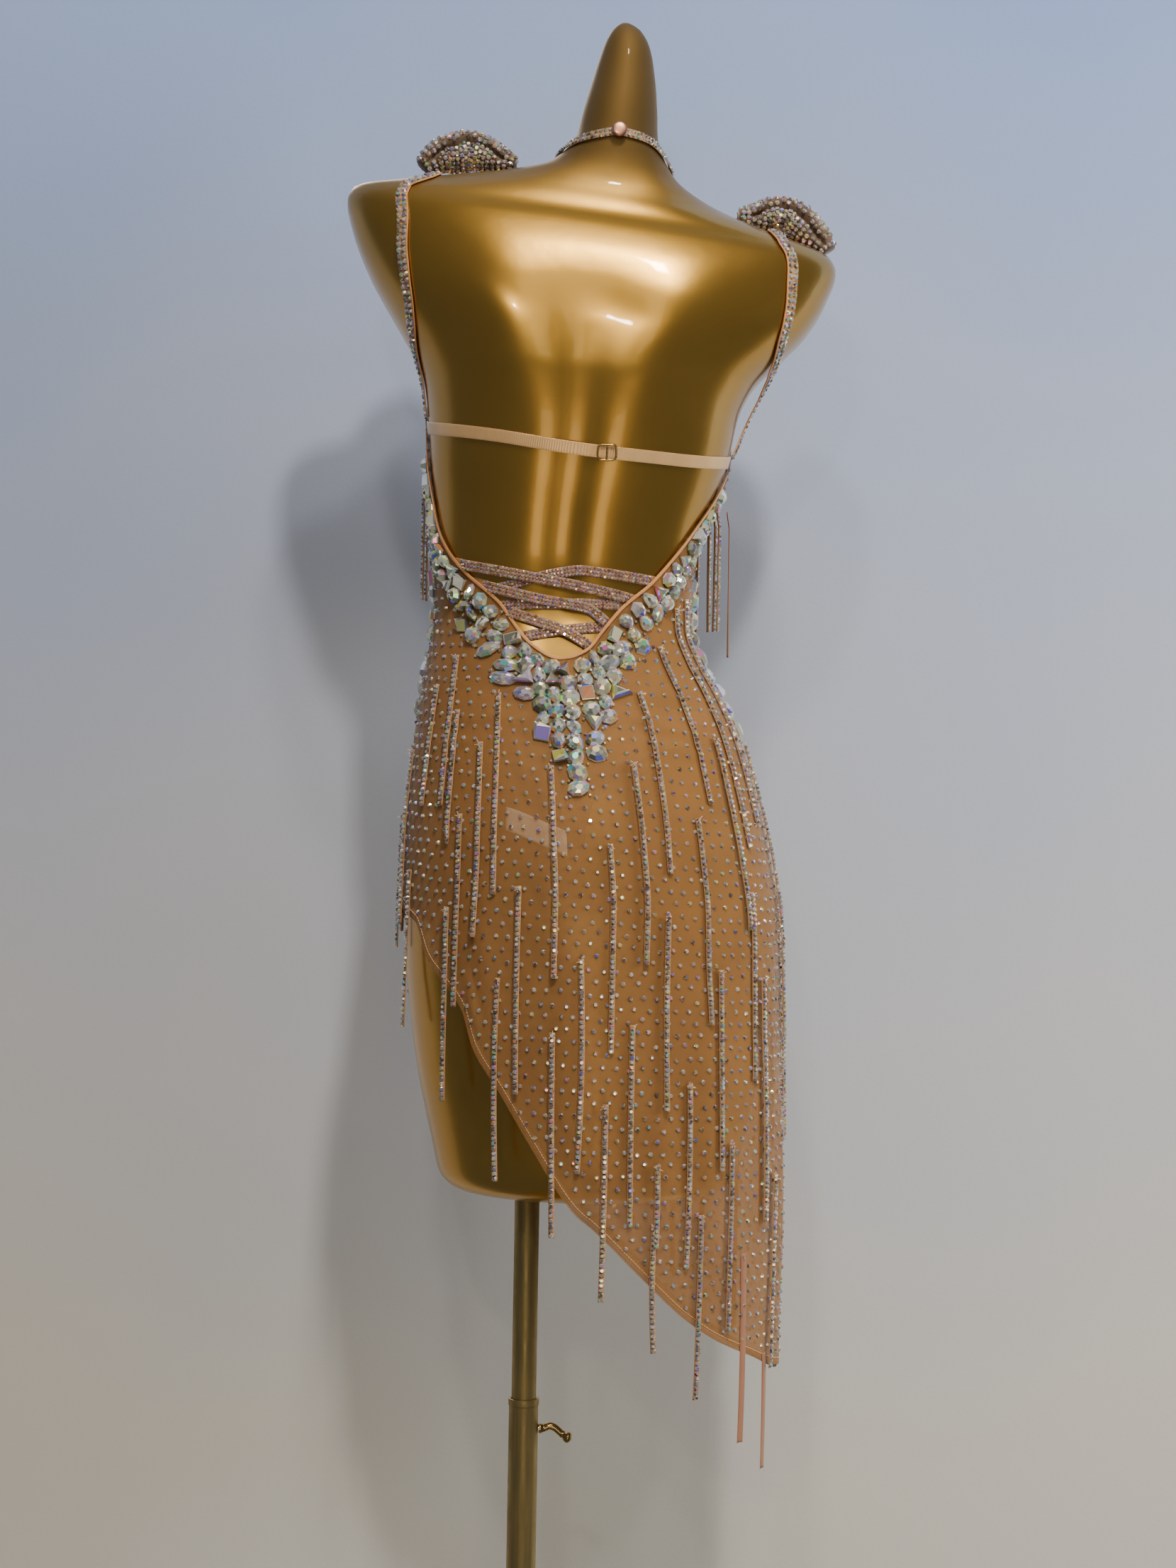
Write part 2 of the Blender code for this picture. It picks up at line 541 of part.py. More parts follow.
def fringe(name, roots, material, tape_lift, strand_path, level):
    """Strands on one narrow tape, as one body. level gives the tape's height at an angle on the way."""
    half_turn = {}
    stations = []  # angle, height, index of the strand whose left or right side this is
    for index, (angle, top, _) in enumerate(roots):
        point = on_dress(angle, top, tape_lift)
        width = np.linalg.norm(on_dress(angle + 1, top, tape_lift) - point)
        half_turn[index] = STRAND_WIDTH / 2 / width
        if index:
            before = roots[index - 1]
            start, stop = before[0] + half_turn[index - 1], angle - half_turn[index]
            for line in columns(start, stop)[1:-1]:
                share = (line - start) / (stop - start)
                stations.append((line, level(line, before[1] + (top - before[1]) * share), None))
        stations.append((angle - half_turn[index], top, None))
        stations.append((angle + half_turn[index], top, index))
    points, faces = [], []
    for angle, height, _ in stations:
        for lift, drop in ((tape_lift, -0.5), (tape_lift, 0.5), (tape_lift + TAPE_THICK, 0.5),
                           (tape_lift + TAPE_THICK, -0.5)):
            points.append(on_dress(angle, height + drop * TAPE_HEIGHT, lift))
    for s in range(len(stations) - 1):
        a, b = 4 * s, 4 * s + 4
        index = stations[s + 1][2]
        for k in range(4):
            if index is not None and k == 2:
                continue
            faces.append((a + k, a + (k + 1) % 4, b + (k + 1) % 4, b + k))
        if index is None:
            continue
        loops = strand_path(roots[index])
        first = len(points)
        corner_points = [points[a + 3], points[b + 3], points[b + 2], points[a + 2]]
        outer = loops[0]
        rise = outer[3] - outer[0]
        points.extend((outer[3], outer[2]))           # the boss's lower outer corners
        points.extend((corner_points[3] + rise, corner_points[2] + rise))  # its upper outer corners
        low_left, low_right, high_left, high_right = first, first + 1, first + 2, first + 3
        faces.append((a + 2, b + 2, high_right, high_left))
        faces.append((high_left, high_right, low_right, low_left))
        faces.append((a + 3, a + 2, high_left, low_left))
        faces.append((b + 3, low_right, high_right, b + 2))
        ring = [a + 3, b + 3, low_right, low_left]
        for loop in loops[1:]:
            start = len(points)
            points.extend(loop)
            for k in range(4):
                faces.append((ring[k], ring[(k + 1) % 4], start + (k + 1) % 4, start + k))
            ring = list(range(start, start + 4))
        faces.append(tuple(ring))
    last = 4 * (len(stations) - 1)
    faces += [(0, 1, 2, 3), (last, last + 1, last + 2, last + 3)]
    return build(name, points, faces, material)


def skirt_strand(layer):
    lift = SIT + TAPE_THICK + SIT + (layer - 1) * (STRAND_THICK + SIT)

    def path(root):
        angle, top, end = root
        heights = strand_heights(top - TAPE_HEIGHT / 2, end)
        if layer > 1:
            heights.insert(1, heights[0] - 0.005)
        centres = [on_dress(angle, height, lift) for height in heights]
        outward = []
        for height in heights:
            out = normal_at(dress_section, angle, height)
            outward.append(out)
        return strand_loops(centres, outward)

    return path


def hanging_strand(root, width=STRAND_WIDTH, lift=SIT + TAPE_THICK + GAP):
    """A strand that leaves the cup at its root and hangs straight down."""
    angle, top, end = root
    out = normal_at(dress_section, angle, top)
    out[2] = 0
    out /= np.linalg.norm(out)
    start = on_dress(angle, top - TAPE_HEIGHT / 2, lift)
    centres = [start]
    reach = start + out * 0.0015
    for height in np.linspace(start[2] - 0.012, start[2] - (top - end), 3):
        centres.append(np.array((reach[0], reach[1], height)))
    return strand_loops(centres, [out] * len(centres), width)


# ---------------------------------------------------------------- the stand and the form
def make_stand(metal):
    base = [
        (0, 0), (BASE_R, 0), (BASE_R, 0.006), (BASE_R - 0.004, 0.010), (0.024, 0.014),
        (0.021, SOCKET_TOP), (SLEEVE_R + GAP, SOCKET_TOP),
        (SLEEVE_R + GAP, 0.014), (0, 0.014),
    ]
    turned("stand_base", base, metal, segments=32)
    turned("stand_sleeve", [(SLEEVE_R, 0.014 + GAP), (SLEEVE_R, SLEEVE_TOP), (SLEEVE_BORE, SLEEVE_TOP),
                            (SLEEVE_BORE, 0.014 + GAP)], metal)
    turned("stand_pole", [(0, POLE_FOOT), (POLE_R, POLE_FOOT), (POLE_R, SECTIONS[0][0] - GAP),
                          (0, SECTIONS[0][0] - GAP)], metal)
    route = through(((0.0129, 0, 0.5217), (0.0175, 0, 0.5222), (0.0220, 0, 0.5240), (0.0270, 0, 0.5225),
                     (0.0330, 0, 0.5175), (0.0410, 0, 0.5128)), 11)
    radii = (0.0040, 0.0040, 0.0026, 0.0025, 0.0025, 0.0025, 0.0025, 0.0025, 0.0036, 0.0046, 0.0030)
    sweep("stand_lever", route, radii, metal)


def make_form(lacquer):
    heights = sorted([row[0] for row in SECTIONS] + list(FORM_RINGS))
    heights = [h for h in heights if h not in FORM_SKIPS]
    step = 180 / PANEL_COLUMNS
    loops = [[body_point(form_section, k * step, height) for k in range(2 * PANEL_COLUMNS)] for height in heights]
    return rings("dress_form", loops, lacquer)


# ---------------------------------------------------------------- the dress
def make_panels(mesh_cloth):
    seam = seam_angle()
    inside = under
    outside = lambda height: under(height) + CLOTH
    sheet("back_panel", columns(-90 + seam, 90 - seam), hem_at, lambda a: float(neck_height(a)[0]), BACK_ROWS,
          (inside, outside), mesh_cloth)
    sheet("front_panel", columns(90 + seam, 270 - seam), hem_at, lambda a: UNDERBUST - GAP / 2, FRONT_ROWS,
          (inside, outside), mesh_cloth)
    for name, start, end in (("cup_right", 90 + seam, 180 - 0.07), ("cup_left", 180 + 0.07, 270 - seam)):
        sheet(name, columns(start, end), lambda a: UNDERBUST + GAP / 2, lambda a: float(cup_height(a)[0]), 9,
              (lambda h: inside(h) + fuller(h), lambda h: outside(h) + fuller(h)), mesh_cloth)


def make_brief(satin, label):
    angles = columns(-80, 80, extra=(-4, -0.8, 0.5, 5, 12.7))
    sheet("brief_back", angles, lambda a: float(brief_height(a)[0]), lambda a: BRIEF_TOP, 4,
          (lambda h: CLEAR - 0.0001, lambda h: CLEAR + CLOTH - 0.0001), satin)
    inner = CLEAR + CLOTH + 0.0004
    cells = [(c, r) for c in range(len(LABEL_EDGES) - 1) for r in range(2)]

    def at(lift):
        def point(key):
            angle, top, bottom = LABEL_EDGES[key[0]]
            return on_facet(form_section, angle, bottom + (top - bottom) * key[1] / 2, lift)
        return point

    wall("label_patch", cells, at(inner), at(inner + CLOTH), label)


def make_binding(satin):
    """The narrow bound edge of the low back, lying on the panel's top edge."""
    path = []
    for angle in columns(-88, 88, 6):
        path.append((angle, float(neck_height(angle)[0]) - 0.0017, 0))
    centres = [(a, h, under(h) + CLOTH) for a, h, _ in path]
    band("back_neck_binding", centres, 0.0032, SIT, 0.0010, satin, dress_section)


def make_crystals(name, edge, depths, start, end, top_gap, pitch, glass):
    """Large stones set edge to edge: columns along an edge of the dress, each as deep as its place asks."""
    depth_at = spline(depths)
    fine = np.linspace(start, end, 400)
    line = np.array([on_dress(a, edge(a), 0) for a in fine])
    lengths = np.concatenate(([0], np.cumsum(np.linalg.norm(np.diff(line, axis=0), axis=1))))
    count = round(lengths[-1] / pitch)
    angles = np.interp(np.linspace(0, lengths[-1], count + 1), lengths, fine)
    grid, cells, studs = {}, [], {}
    middle = 0 if start < 90 else 180
    for i, angle in enumerate(angles):
        height = edge(angle)
        here = on_dress(angle, height, 0)
        along = on_dress(angle + 0.5, edge(angle + 0.5), 0) - on_dress(angle - 0.5, edge(angle - 0.5), 0)
        out = normal_at(dress_section, angle, height)
        away = np.cross(along, out)
        away /= np.linalg.norm(away)
        off = abs(angle - middle)  # the columns run straight down near the middle and near the seams
        straight = max(0.0, 1 - max(0.0, off - 14) / 16, min(1.0, (off - 30) / 55))
        a, h = angle, height
        level = math.hypot(along[0], along[1]) / np.linalg.norm(along)
        drop = top_gap * (1 + straight * (1 / level - 1))
        for row in range(16):
            round_step = (on_dress(a + 0.2, h, 0) - on_dress(a - 0.2, h, 0)) / 0.4
            up_step = (on_dress(a, h + 0.002, 0) - on_dress(a, h - 0.002, 0)) / 0.004
            solved = np.linalg.lstsq(np.column_stack((round_step, up_step)), away * drop, rcond=None)[0]
            a += solved[0] * (1 - straight)
            h += solved[1] * (1 - straight) - straight * drop / np.linalg.norm(up_step)
            a = min(max(a, start), end)
            grid[i, row] = (a, h)
            drop = pitch
    for i in range(count):
        middle_angle = (angles[i] + angles[i + 1]) / 2
        rows = max(1, round(float(depth_at(middle_angle)[0]) / pitch))
        for row in range(min(rows, 15)):
            cells.append((i, row))
            mix = (i * 7 + row * 5 + (i * row) % 3) % 9
            studs[i, row] = (CRYSTAL_RISE * (0.75 + 0.06 * mix), 0.46 + 0.03 * ((i * 5 + row * 3) % 7))

    def at(lift):
        return lambda key: on_dress(*grid[key], lift)

    return wall(name, cells, at(SIT + 0.0004), at(SIT + 0.0014), glass, studs)


def make_straps(stones, elastic, metal):
    for name, table in (("shoulder_strap_left", STRAP_LEFT), ("shoulder_strap_right", STRAP_RIGHT)):
        band(name, through(table, 38), 0.0100, CLEAR, 0.0022, stones)
    band("bra_strap", along(BRA_STRAP, 21), 0.0105, CLEAR, 0.0010, elastic)
    for name, (layer, *points) in LACES.items():
        path = along([(a, h, 0) for a, h in points], 7)
        band(name, path, 0.0092, CLEAR + (layer - 1) * 0.0022, 0.0018, stones)
    band("choker", along(CHOKER, 25)[:-1], 0.0075, CLEAR + 0.0004, 0.0022, stones, closed=True)
    make_snap(metal)
    make_slider(metal)


def make_snap(metal):
    """The round snap that closes the choker at the back of the neck."""
    angle, height = 2.0, 1.6150
    out = normal_at(form_section, angle, height)
    centre = lifted(form_section, angle, height, CLEAR + 0.0004 + 0.0022 + GAP + 0.0003)
    side = np.cross(out, (0, 0, 1.0))
    side /= np.linalg.norm(side)
    up = np.cross(side, out)
    loops = []
    for radius, rise in ((0.0060, 0), (0.0065, 0.0008), (0.0060, 0.0020), (0.0035, 0.0030)):
        loops.append([centre + out * rise + radius * (side * math.cos(t) + up * math.sin(t))
                      for t in np.linspace(0, 2 * math.pi, 12, endpoint=False)])
    rings("choker_snap", loops, metal)


def make_slider(metal):
    """The slider on the bra strap: a flat frame with one bar across its middle."""
    angle, height = 9.0, 1.3434
    out = normal_at(form_section, angle, height)
    centre = lifted(form_section, angle, height, CLEAR + 0.0010 + GAP + 0.0003)
    side = np.cross((0, 0, 1.0), out)
    side /= np.linalg.norm(side)
    up = np.cross(out, side)
    half_wide, half_tall, bar = 0.0085, 0.0070, 0.0018
    xs = (-half_wide, -half_wide + bar, -bar / 2, bar / 2, half_wide - bar, half_wide)
    ys = (-half_tall, -half_tall + bar, half_tall - bar, half_tall)
    cells = [(c, r) for c in range(5) for r in range(3) if not (c in (1, 3) and r == 1)]

    def at(rise):
        return lambda key: centre + side * xs[key[0]] + up * ys[key[1]] + out * rise

    wall("bra_slider", cells, at(0), at(0.0014), metal)


def make_rolls(stones):
    """A stuffed, twisted roll of stoned mesh on each shoulder, riding up over the strap that passes under it."""
    for name, sign, inner, outer, strap in (
        ("shoulder_roll_left", -1, -0.026, -0.104, -0.098),
        ("shoulder_roll_right", 1, 0.166, 0.242, 0.205),
    ):
        count = 13
        centres, radii = [], []
        for i in range(count):
            t = i / (count - 1)
            x = inner + (outer - inner) * t
            radius = 0.0045 + 0.0125 * math.sin(math.pi * (t * 0.96 + 0.02)) ** 0.7
            low = min((s for s in SHOULDER_LINE[sign]), key=lambda s: abs(s[0] - x))[1]
            over = 0.0001 + 0.0042 * math.exp(-(((x - strap) / 0.018) ** 4))
            centres.append(np.array((x, 0.008 * math.sin(math.pi * t), low + radius + over)))
            radii.append(radius)
        twist = lambda t, turn: 1 - 0.18 * math.exp(-((math.sin((turn - sign * 3.4 * t) / 2 + 0.4) / 0.30) ** 2))
        sweep(name, centres, radii, stones, sides=10, shape=twist)


SHOULDER_LINE = {  # the top of each shoulder: points of x, z, highest over the depth the rolls cover
    sign: [
        (float(body_point(form_section, sign * 90, h)[0]), float(body_point(form_section, sign * 90, h)[2]))
        for h in np.linspace(1.5300, 1.5950, 400)
    ]
    for sign in (-1, 1)
}


def make_fringe(stones, satin):
    for name, (layer, *roots) in FRINGE.items():
        fringe(name, roots, stones, SIT, skirt_strand(layer), lambda angle, height: height)
    for name, angles in BUST_FRINGE.items():
        roots = [(a, BUST_FRINGE_TOP, BUST_FRINGE_TOP - BUST_FRINGE_DROP) for a in angles]
        fringe(name, roots, stones, SIT, hanging_strand, lambda angle, height: height)
    for name, (angle, top, end, off) in PLAIN_STRIPS.items():
        if off:
            loops = hanging_strand((angle, top, end), 0.0040, GAP)
        else:
            heights = strand_heights(top, end)
            outward = [normal_at(dress_section, angle, h) for h in heights]
            loops = strand_loops([on_dress(angle, h, GAP) for h in heights], outward, 0.0050)
        rings(name, loops, satin)


def main():
    for thing in list(bpy.data.objects):
        bpy.data.objects.remove(thing, do_unlink=True)
    lacquer = finish("pearl_gold_lacquer", "9a7420", 0.22, 0.75)
    metal = finish("gilt_metal", "b08d3c", 0.25, 1.0)
    mesh_cloth = finish("nude_stretch_mesh", "b57f45", 0.70, 0.0)
    satin = finish("nude_satin", "c08a58", 0.45, 0.0)
    label = finish("pale_tape", "e3b98a", 0.60, 0.0)
    stones = finish("stoned_mesh", "c9a58c", 0.30, 0.0)
    glass = finish("iridescent_glass", "d9dce6", 0.05, 0.0)
    make_stand(metal)
    make_form(lacquer)
    make_panels(mesh_cloth)
    make_brief(satin, label)
    make_binding(satin)
    make_crystals("crystals_back", lambda a: float(neck_height(a)[0]), CRYSTAL_DEPTH_BACK, -87, 87, 0.0050,
                  CRYSTAL_PITCH, glass)
    make_crystals("crystals_front", lambda a: UNDERBUST, CRYSTAL_DEPTH_FRONT, 92.5, 267.5, 0.0010,
                  FRONT_PITCH, glass)
    make_straps(stones, satin, metal)
    make_rolls(stones)
    make_fringe(stones, satin)


main()
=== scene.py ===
# %% [markdown]
# # A salsa dress on a display form
# The dress is a stretch mesh skirt with a very low back, laced over the gap, covered in foiled glass stones
# and hung with narrow stoned strands. It is pulled over a glossy limbless form on a pole. The solid model
# is already packed, so this lesson only dresses it: every piece below is laid on the same measured body
# surface.

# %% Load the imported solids
import math

import bmesh
import bpy
import numpy as np
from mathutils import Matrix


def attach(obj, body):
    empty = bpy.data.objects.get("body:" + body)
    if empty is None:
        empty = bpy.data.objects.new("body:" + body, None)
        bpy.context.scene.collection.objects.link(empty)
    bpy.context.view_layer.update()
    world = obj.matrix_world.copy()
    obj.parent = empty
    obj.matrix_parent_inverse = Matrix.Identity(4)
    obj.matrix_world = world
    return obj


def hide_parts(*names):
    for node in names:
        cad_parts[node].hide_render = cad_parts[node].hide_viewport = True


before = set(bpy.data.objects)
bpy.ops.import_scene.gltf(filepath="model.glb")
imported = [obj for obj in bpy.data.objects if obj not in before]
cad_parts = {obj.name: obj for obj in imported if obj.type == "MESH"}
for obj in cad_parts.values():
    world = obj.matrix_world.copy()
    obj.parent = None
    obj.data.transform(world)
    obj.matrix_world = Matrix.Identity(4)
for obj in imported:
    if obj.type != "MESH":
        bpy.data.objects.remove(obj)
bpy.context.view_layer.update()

# %% [markdown]
# ## Camera
# The camera stands level with the hips, a little over two metres behind the dress, and is held about one
# degree off level, so that upright things lean slightly to the left on their way down. A camera can be
# aimed with a constraint, but a fixed place and turn are simpler to read, and the lens then follows from
# how many pixels a metre should cover.

# %% Make the camera
eye = bpy.data.objects.new("eye", bpy.data.cameras.new("eye"))
AWAY, ROLL = 2.30, -1.0  # metres behind the form, and degrees off level
PER_METRE, FRAME_TALL = 1660, 2212  # the frame's pixels to a metre at the form, and its height in pixels
eye.location = (0.0455, -AWAY, 1.07)
eye.rotation_euler = (math.radians(90), math.radians(ROLL), 0)
eye.data.sensor_width = 36
eye.data.lens = eye.data.sensor_width * PER_METRE * AWAY / FRAME_TALL
bpy.context.scene.collection.objects.link(eye)
bpy.context.scene.camera = eye
print("lens", round(eye.data.lens, 2), "mm")


# %% [markdown]
# ## Colours and nodes
# Colours are picked as ordinary screen hex codes, so one function turns them into the linear values that
# the renderer works with. One more function adds any node with its settings and links.

# %% Helpers for materials
def colour(code, alpha=1.0):
    parts = [int(code[i:i + 2], 16) / 255 for i in (0, 2, 4)]
    return (*[c / 12.92 if c <= 0.04045 else ((c + 0.055) / 1.055) ** 2.4 for c in parts], alpha)


def add(tree, kind, inputs=None, **settings):
    made = tree.nodes.new(kind)
    for key, value in settings.items():
        setattr(made, key, value)
    for key, value in (inputs or {}).items():
        if isinstance(value, bpy.types.NodeSocket):
            tree.links.new(value, made.inputs[key])
        else:
            made.inputs[key].default_value = value
    return made


def surface(name, **sockets):
    """A new material with its Principled shader's sockets set; a name's underscores stand for spaces."""
    made = bpy.data.materials.new(name)
    made.use_nodes = True
    shader = made.node_tree.nodes["Principled BSDF"]
    for key, value in sockets.items():
        shader.inputs[key.replace("_", " ")].default_value = value
    return made, made.node_tree, shader


def feed(shader, **outputs):
    """Link each output to the shader's socket of that name."""
    for key, value in outputs.items():
        shader.id_data.links.new(value, shader.inputs[key.replace("_", " ")])


def linked(name, mesh, finish):
    mesh.materials.append(finish)
    thing = bpy.data.objects.new(name, mesh)
    bpy.context.scene.collection.objects.link(thing)
    return thing


print("mid grey in linear light:", round(colour("808080")[0], 3))


# %% [markdown]
# ## Room and light
# A painted wall stands just beyond the form, with a pale floor under both. Small lamps high on the camera's
# side throw the shadows down the wall and make the stones sparkle. Large soft panels give the lacquer
# something broad to mirror, and two lamps beyond the wall light the front of the dress. One picture of a
# room could light it all, but area lamps need no image and each has its own job.

# %% Wall and floor
WALL_AT, WALL_WIDE, WALL_TALL, WALL_MIDDLE = 0.215, 12, 3.64, 1.8
FLOOR_HALF, FLOOR_LOW, FLOOR_TOP = 6, -0.03, -0.0005


def stage_piece(name, shape, place, finish):
    """A piece of the stage, each corner of its shape sent to place(x, y, z)."""
    for corner in shape.verts:
        corner.co = place(*corner.co)
    mesh = bpy.data.meshes.new(name)
    shape.to_mesh(mesh)
    shape.free()
    thing = linked(name, mesh, finish)
    return thing


paint, tree, shader = surface("roller-painted wall emulsion", Roughness=0.85)
spot = add(tree, "ShaderNodeTexCoord").outputs["Object"]
split = add(tree, "ShaderNodeSeparateXYZ", {"Vector": spot})
cloud = add(tree, "ShaderNodeTexNoise", {"Vector": spot, "Scale": 1.3, "Detail": 3.0})
height = add(tree, "ShaderNodeMath", {0: split.outputs["Z"], 1: cloud.outputs["Fac"]}, operation="ADD")
# painted shade: the wall's colour turns from grey to a darker blue with height, broken up by soft clouds
wall_painted_shade = add(tree, "ShaderNodeMapRange", {"Value": height.outputs[0], "From Min": 0.9, "From Max": 2.4})
tone = add(tree, "ShaderNodeMix", {"Factor": wall_painted_shade.outputs[0], 6: colour("a3a29e"), 7: colour("6c82ae")},
           data_type="RGBA")
grit = add(tree, "ShaderNodeTexNoise", {"Vector": spot, "Scale": 260.0, "Detail": 2.0})  # 4 mm roller stipple
bump = add(tree, "ShaderNodeBump", {"Height": grit.outputs["Fac"], "Strength": 0.12, "Distance": 0.001})
feed(shader, Base_Color=tone.outputs[2], Normal=bump.outputs[0])
clear = add(tree, "ShaderNodeBsdfTransparent")  # the wall is painted on its room side only
side_of = add(tree, "ShaderNodeNewGeometry").outputs["Backfacing"]
one_sided = add(tree, "ShaderNodeMixShader", {0: side_of, 1: shader.outputs[0], 2: clear.outputs[0]})
tree.links.new(one_sided.outputs[0], tree.nodes["Material Output"].inputs["Surface"])
sheet = bmesh.new()
bmesh.ops.create_grid(sheet, x_segments=2, y_segments=2, size=0.5)
wall = stage_piece("wall", sheet, lambda x, y, z: (
    x * WALL_WIDE, WALL_AT, WALL_MIDDLE + y * WALL_TALL), paint)
wall.visible_shadow = False  # the lamps beyond it light the front of the dress
print("wall faces", tuple(round(x) for x in wall.data.polygons[0].normal))
boards, tree, shader = surface("pale sealed floor", Roughness=0.55)
shader.inputs["Base Color"].default_value = colour("b6b3ac")
block = bmesh.new()
bmesh.ops.create_cube(block, size=1)
ground = stage_piece("floor", block, lambda x, y, z: (
    2 * FLOOR_HALF * x, 2 * FLOOR_HALF * y, FLOOR_LOW + (z + 0.5) * (FLOOR_TOP - FLOOR_LOW)), boards)
ground.visible_glossy = False  # the lacquer mirrors the dim room below it, and not the lit floor

# %% Lamps
LAMPS = (  # name, place, what it aims at, width and height of its panel, watts, colour
    ("key", (0.72, -2.5, 4.10), (0.05, 0, 1.25), 0.24, 0.24, 150, "fff4e6"),
    ("second_key", (-0.36, -2.5, 4.00), (0.05, 0, 1.25), 0.20, 0.20, 40, "fff4e6"),
    ("sparkle", (0.42, -1.40, 3.50), (0.09, -0.08, 1.50), 0.15, 0.15, 26, "fff4e6"),
    ("low_sparkle", (-0.30, -2.6, 2.30), (0.05, 0, 1.00), 0.10, 0.10, 9, "fff4e6"),
    ("softbox", (0.30, -3.2, 2.70), (0.05, 0, 1.45), 0.52, 2.2, 8.6, "ffecb6"),
    ("ceiling_panel", (0.25, -1.20, 3.44), (0.05, -0.08, 1.5), 0.60, 1.2, 5.0, "ffecb6"),
    ("floor_glow", (0.10, -3.0, 0.42), (0.0, -0.07, 1.27), 0.8, 0.55, 3.6, "ffe9c4"),
    ("floor_strip", (0.16, -1.9, 0.03), (0.16, -1.9, 2.0), 0.22, 1.3, 4.4, "ffdf9c"),
    ("wall_wash", (2.5, -0.9, 1.7), (1.0, 0.22, 1.0), 0.9, 0.9, 95, "fffaf0"),
    ("front_key", (-0.9, 3.1, 3.2), (0.05, 0, 1.15), 0.8, 0.8, 60, "fff4e6"),
    ("front_fill", (1.6, 2.8, 1.8), (0.05, 0, 1.05), 1.2, 1.2, 22, "eef3ff"),
)
NO_HIGHLIGHT = ("key", "second_key", "wall_wash")  # these shape the shadows; the others make the highlights
for name, spot, aim, wide, tall, watts, shade in LAMPS:
    light = bpy.data.lights.new(name, "AREA")
    light.shape = "RECTANGLE"
    light.size, light.size_y = wide, tall
    light.energy = watts
    light.color = colour(shade)[:3]
    thing = bpy.data.objects.new(name, light)
    thing.location = spot
    way = np.array(aim, float) - np.array(spot, float)
    thing.rotation_euler = (math.atan2(math.hypot(way[0], way[1]), -way[2]), 0, math.atan2(-way[0], way[1]))
    thing.visible_glossy = name not in NO_HIGHLIGHT
    bpy.context.scene.collection.objects.link(thing)
world = bpy.data.worlds.new("room")
bpy.context.scene.world = world
world.use_nodes = True
tree = world.node_tree
room = tree.nodes["Background"]
room.inputs["Color"].default_value = colour("a0a9b8")
room.inputs["Strength"].default_value = 0.25
pale = add(tree, "ShaderNodeBackground", {"Color": colour("aeb4bd"), "Strength": 1.0})  # shows past the wall
seen = add(tree, "ShaderNodeLightPath").outputs["Is Camera Ray"]
both = add(tree, "ShaderNodeMixShader", {0: seen, 1: room.outputs[0], 2: pale.outputs[0]})
tree.links.new(both.outputs[0], tree.nodes["World Output"].inputs["Surface"])
print("lamps:", len(LAMPS))

# %% [markdown]
# ## The body's surface
# The form and the skirt are described by a short table of cross sections, each a rounded oval with its own
# width, depth and tilt. A point is found by an angle round the body (0 is the middle of the back, 90 the
# right side seam) and a height. The skirt follows the form down to the hips and then hangs by itself. The
# form could be sculpted instead; a surface with a rule for every point lets all the other pieces be laid on
# it exactly.

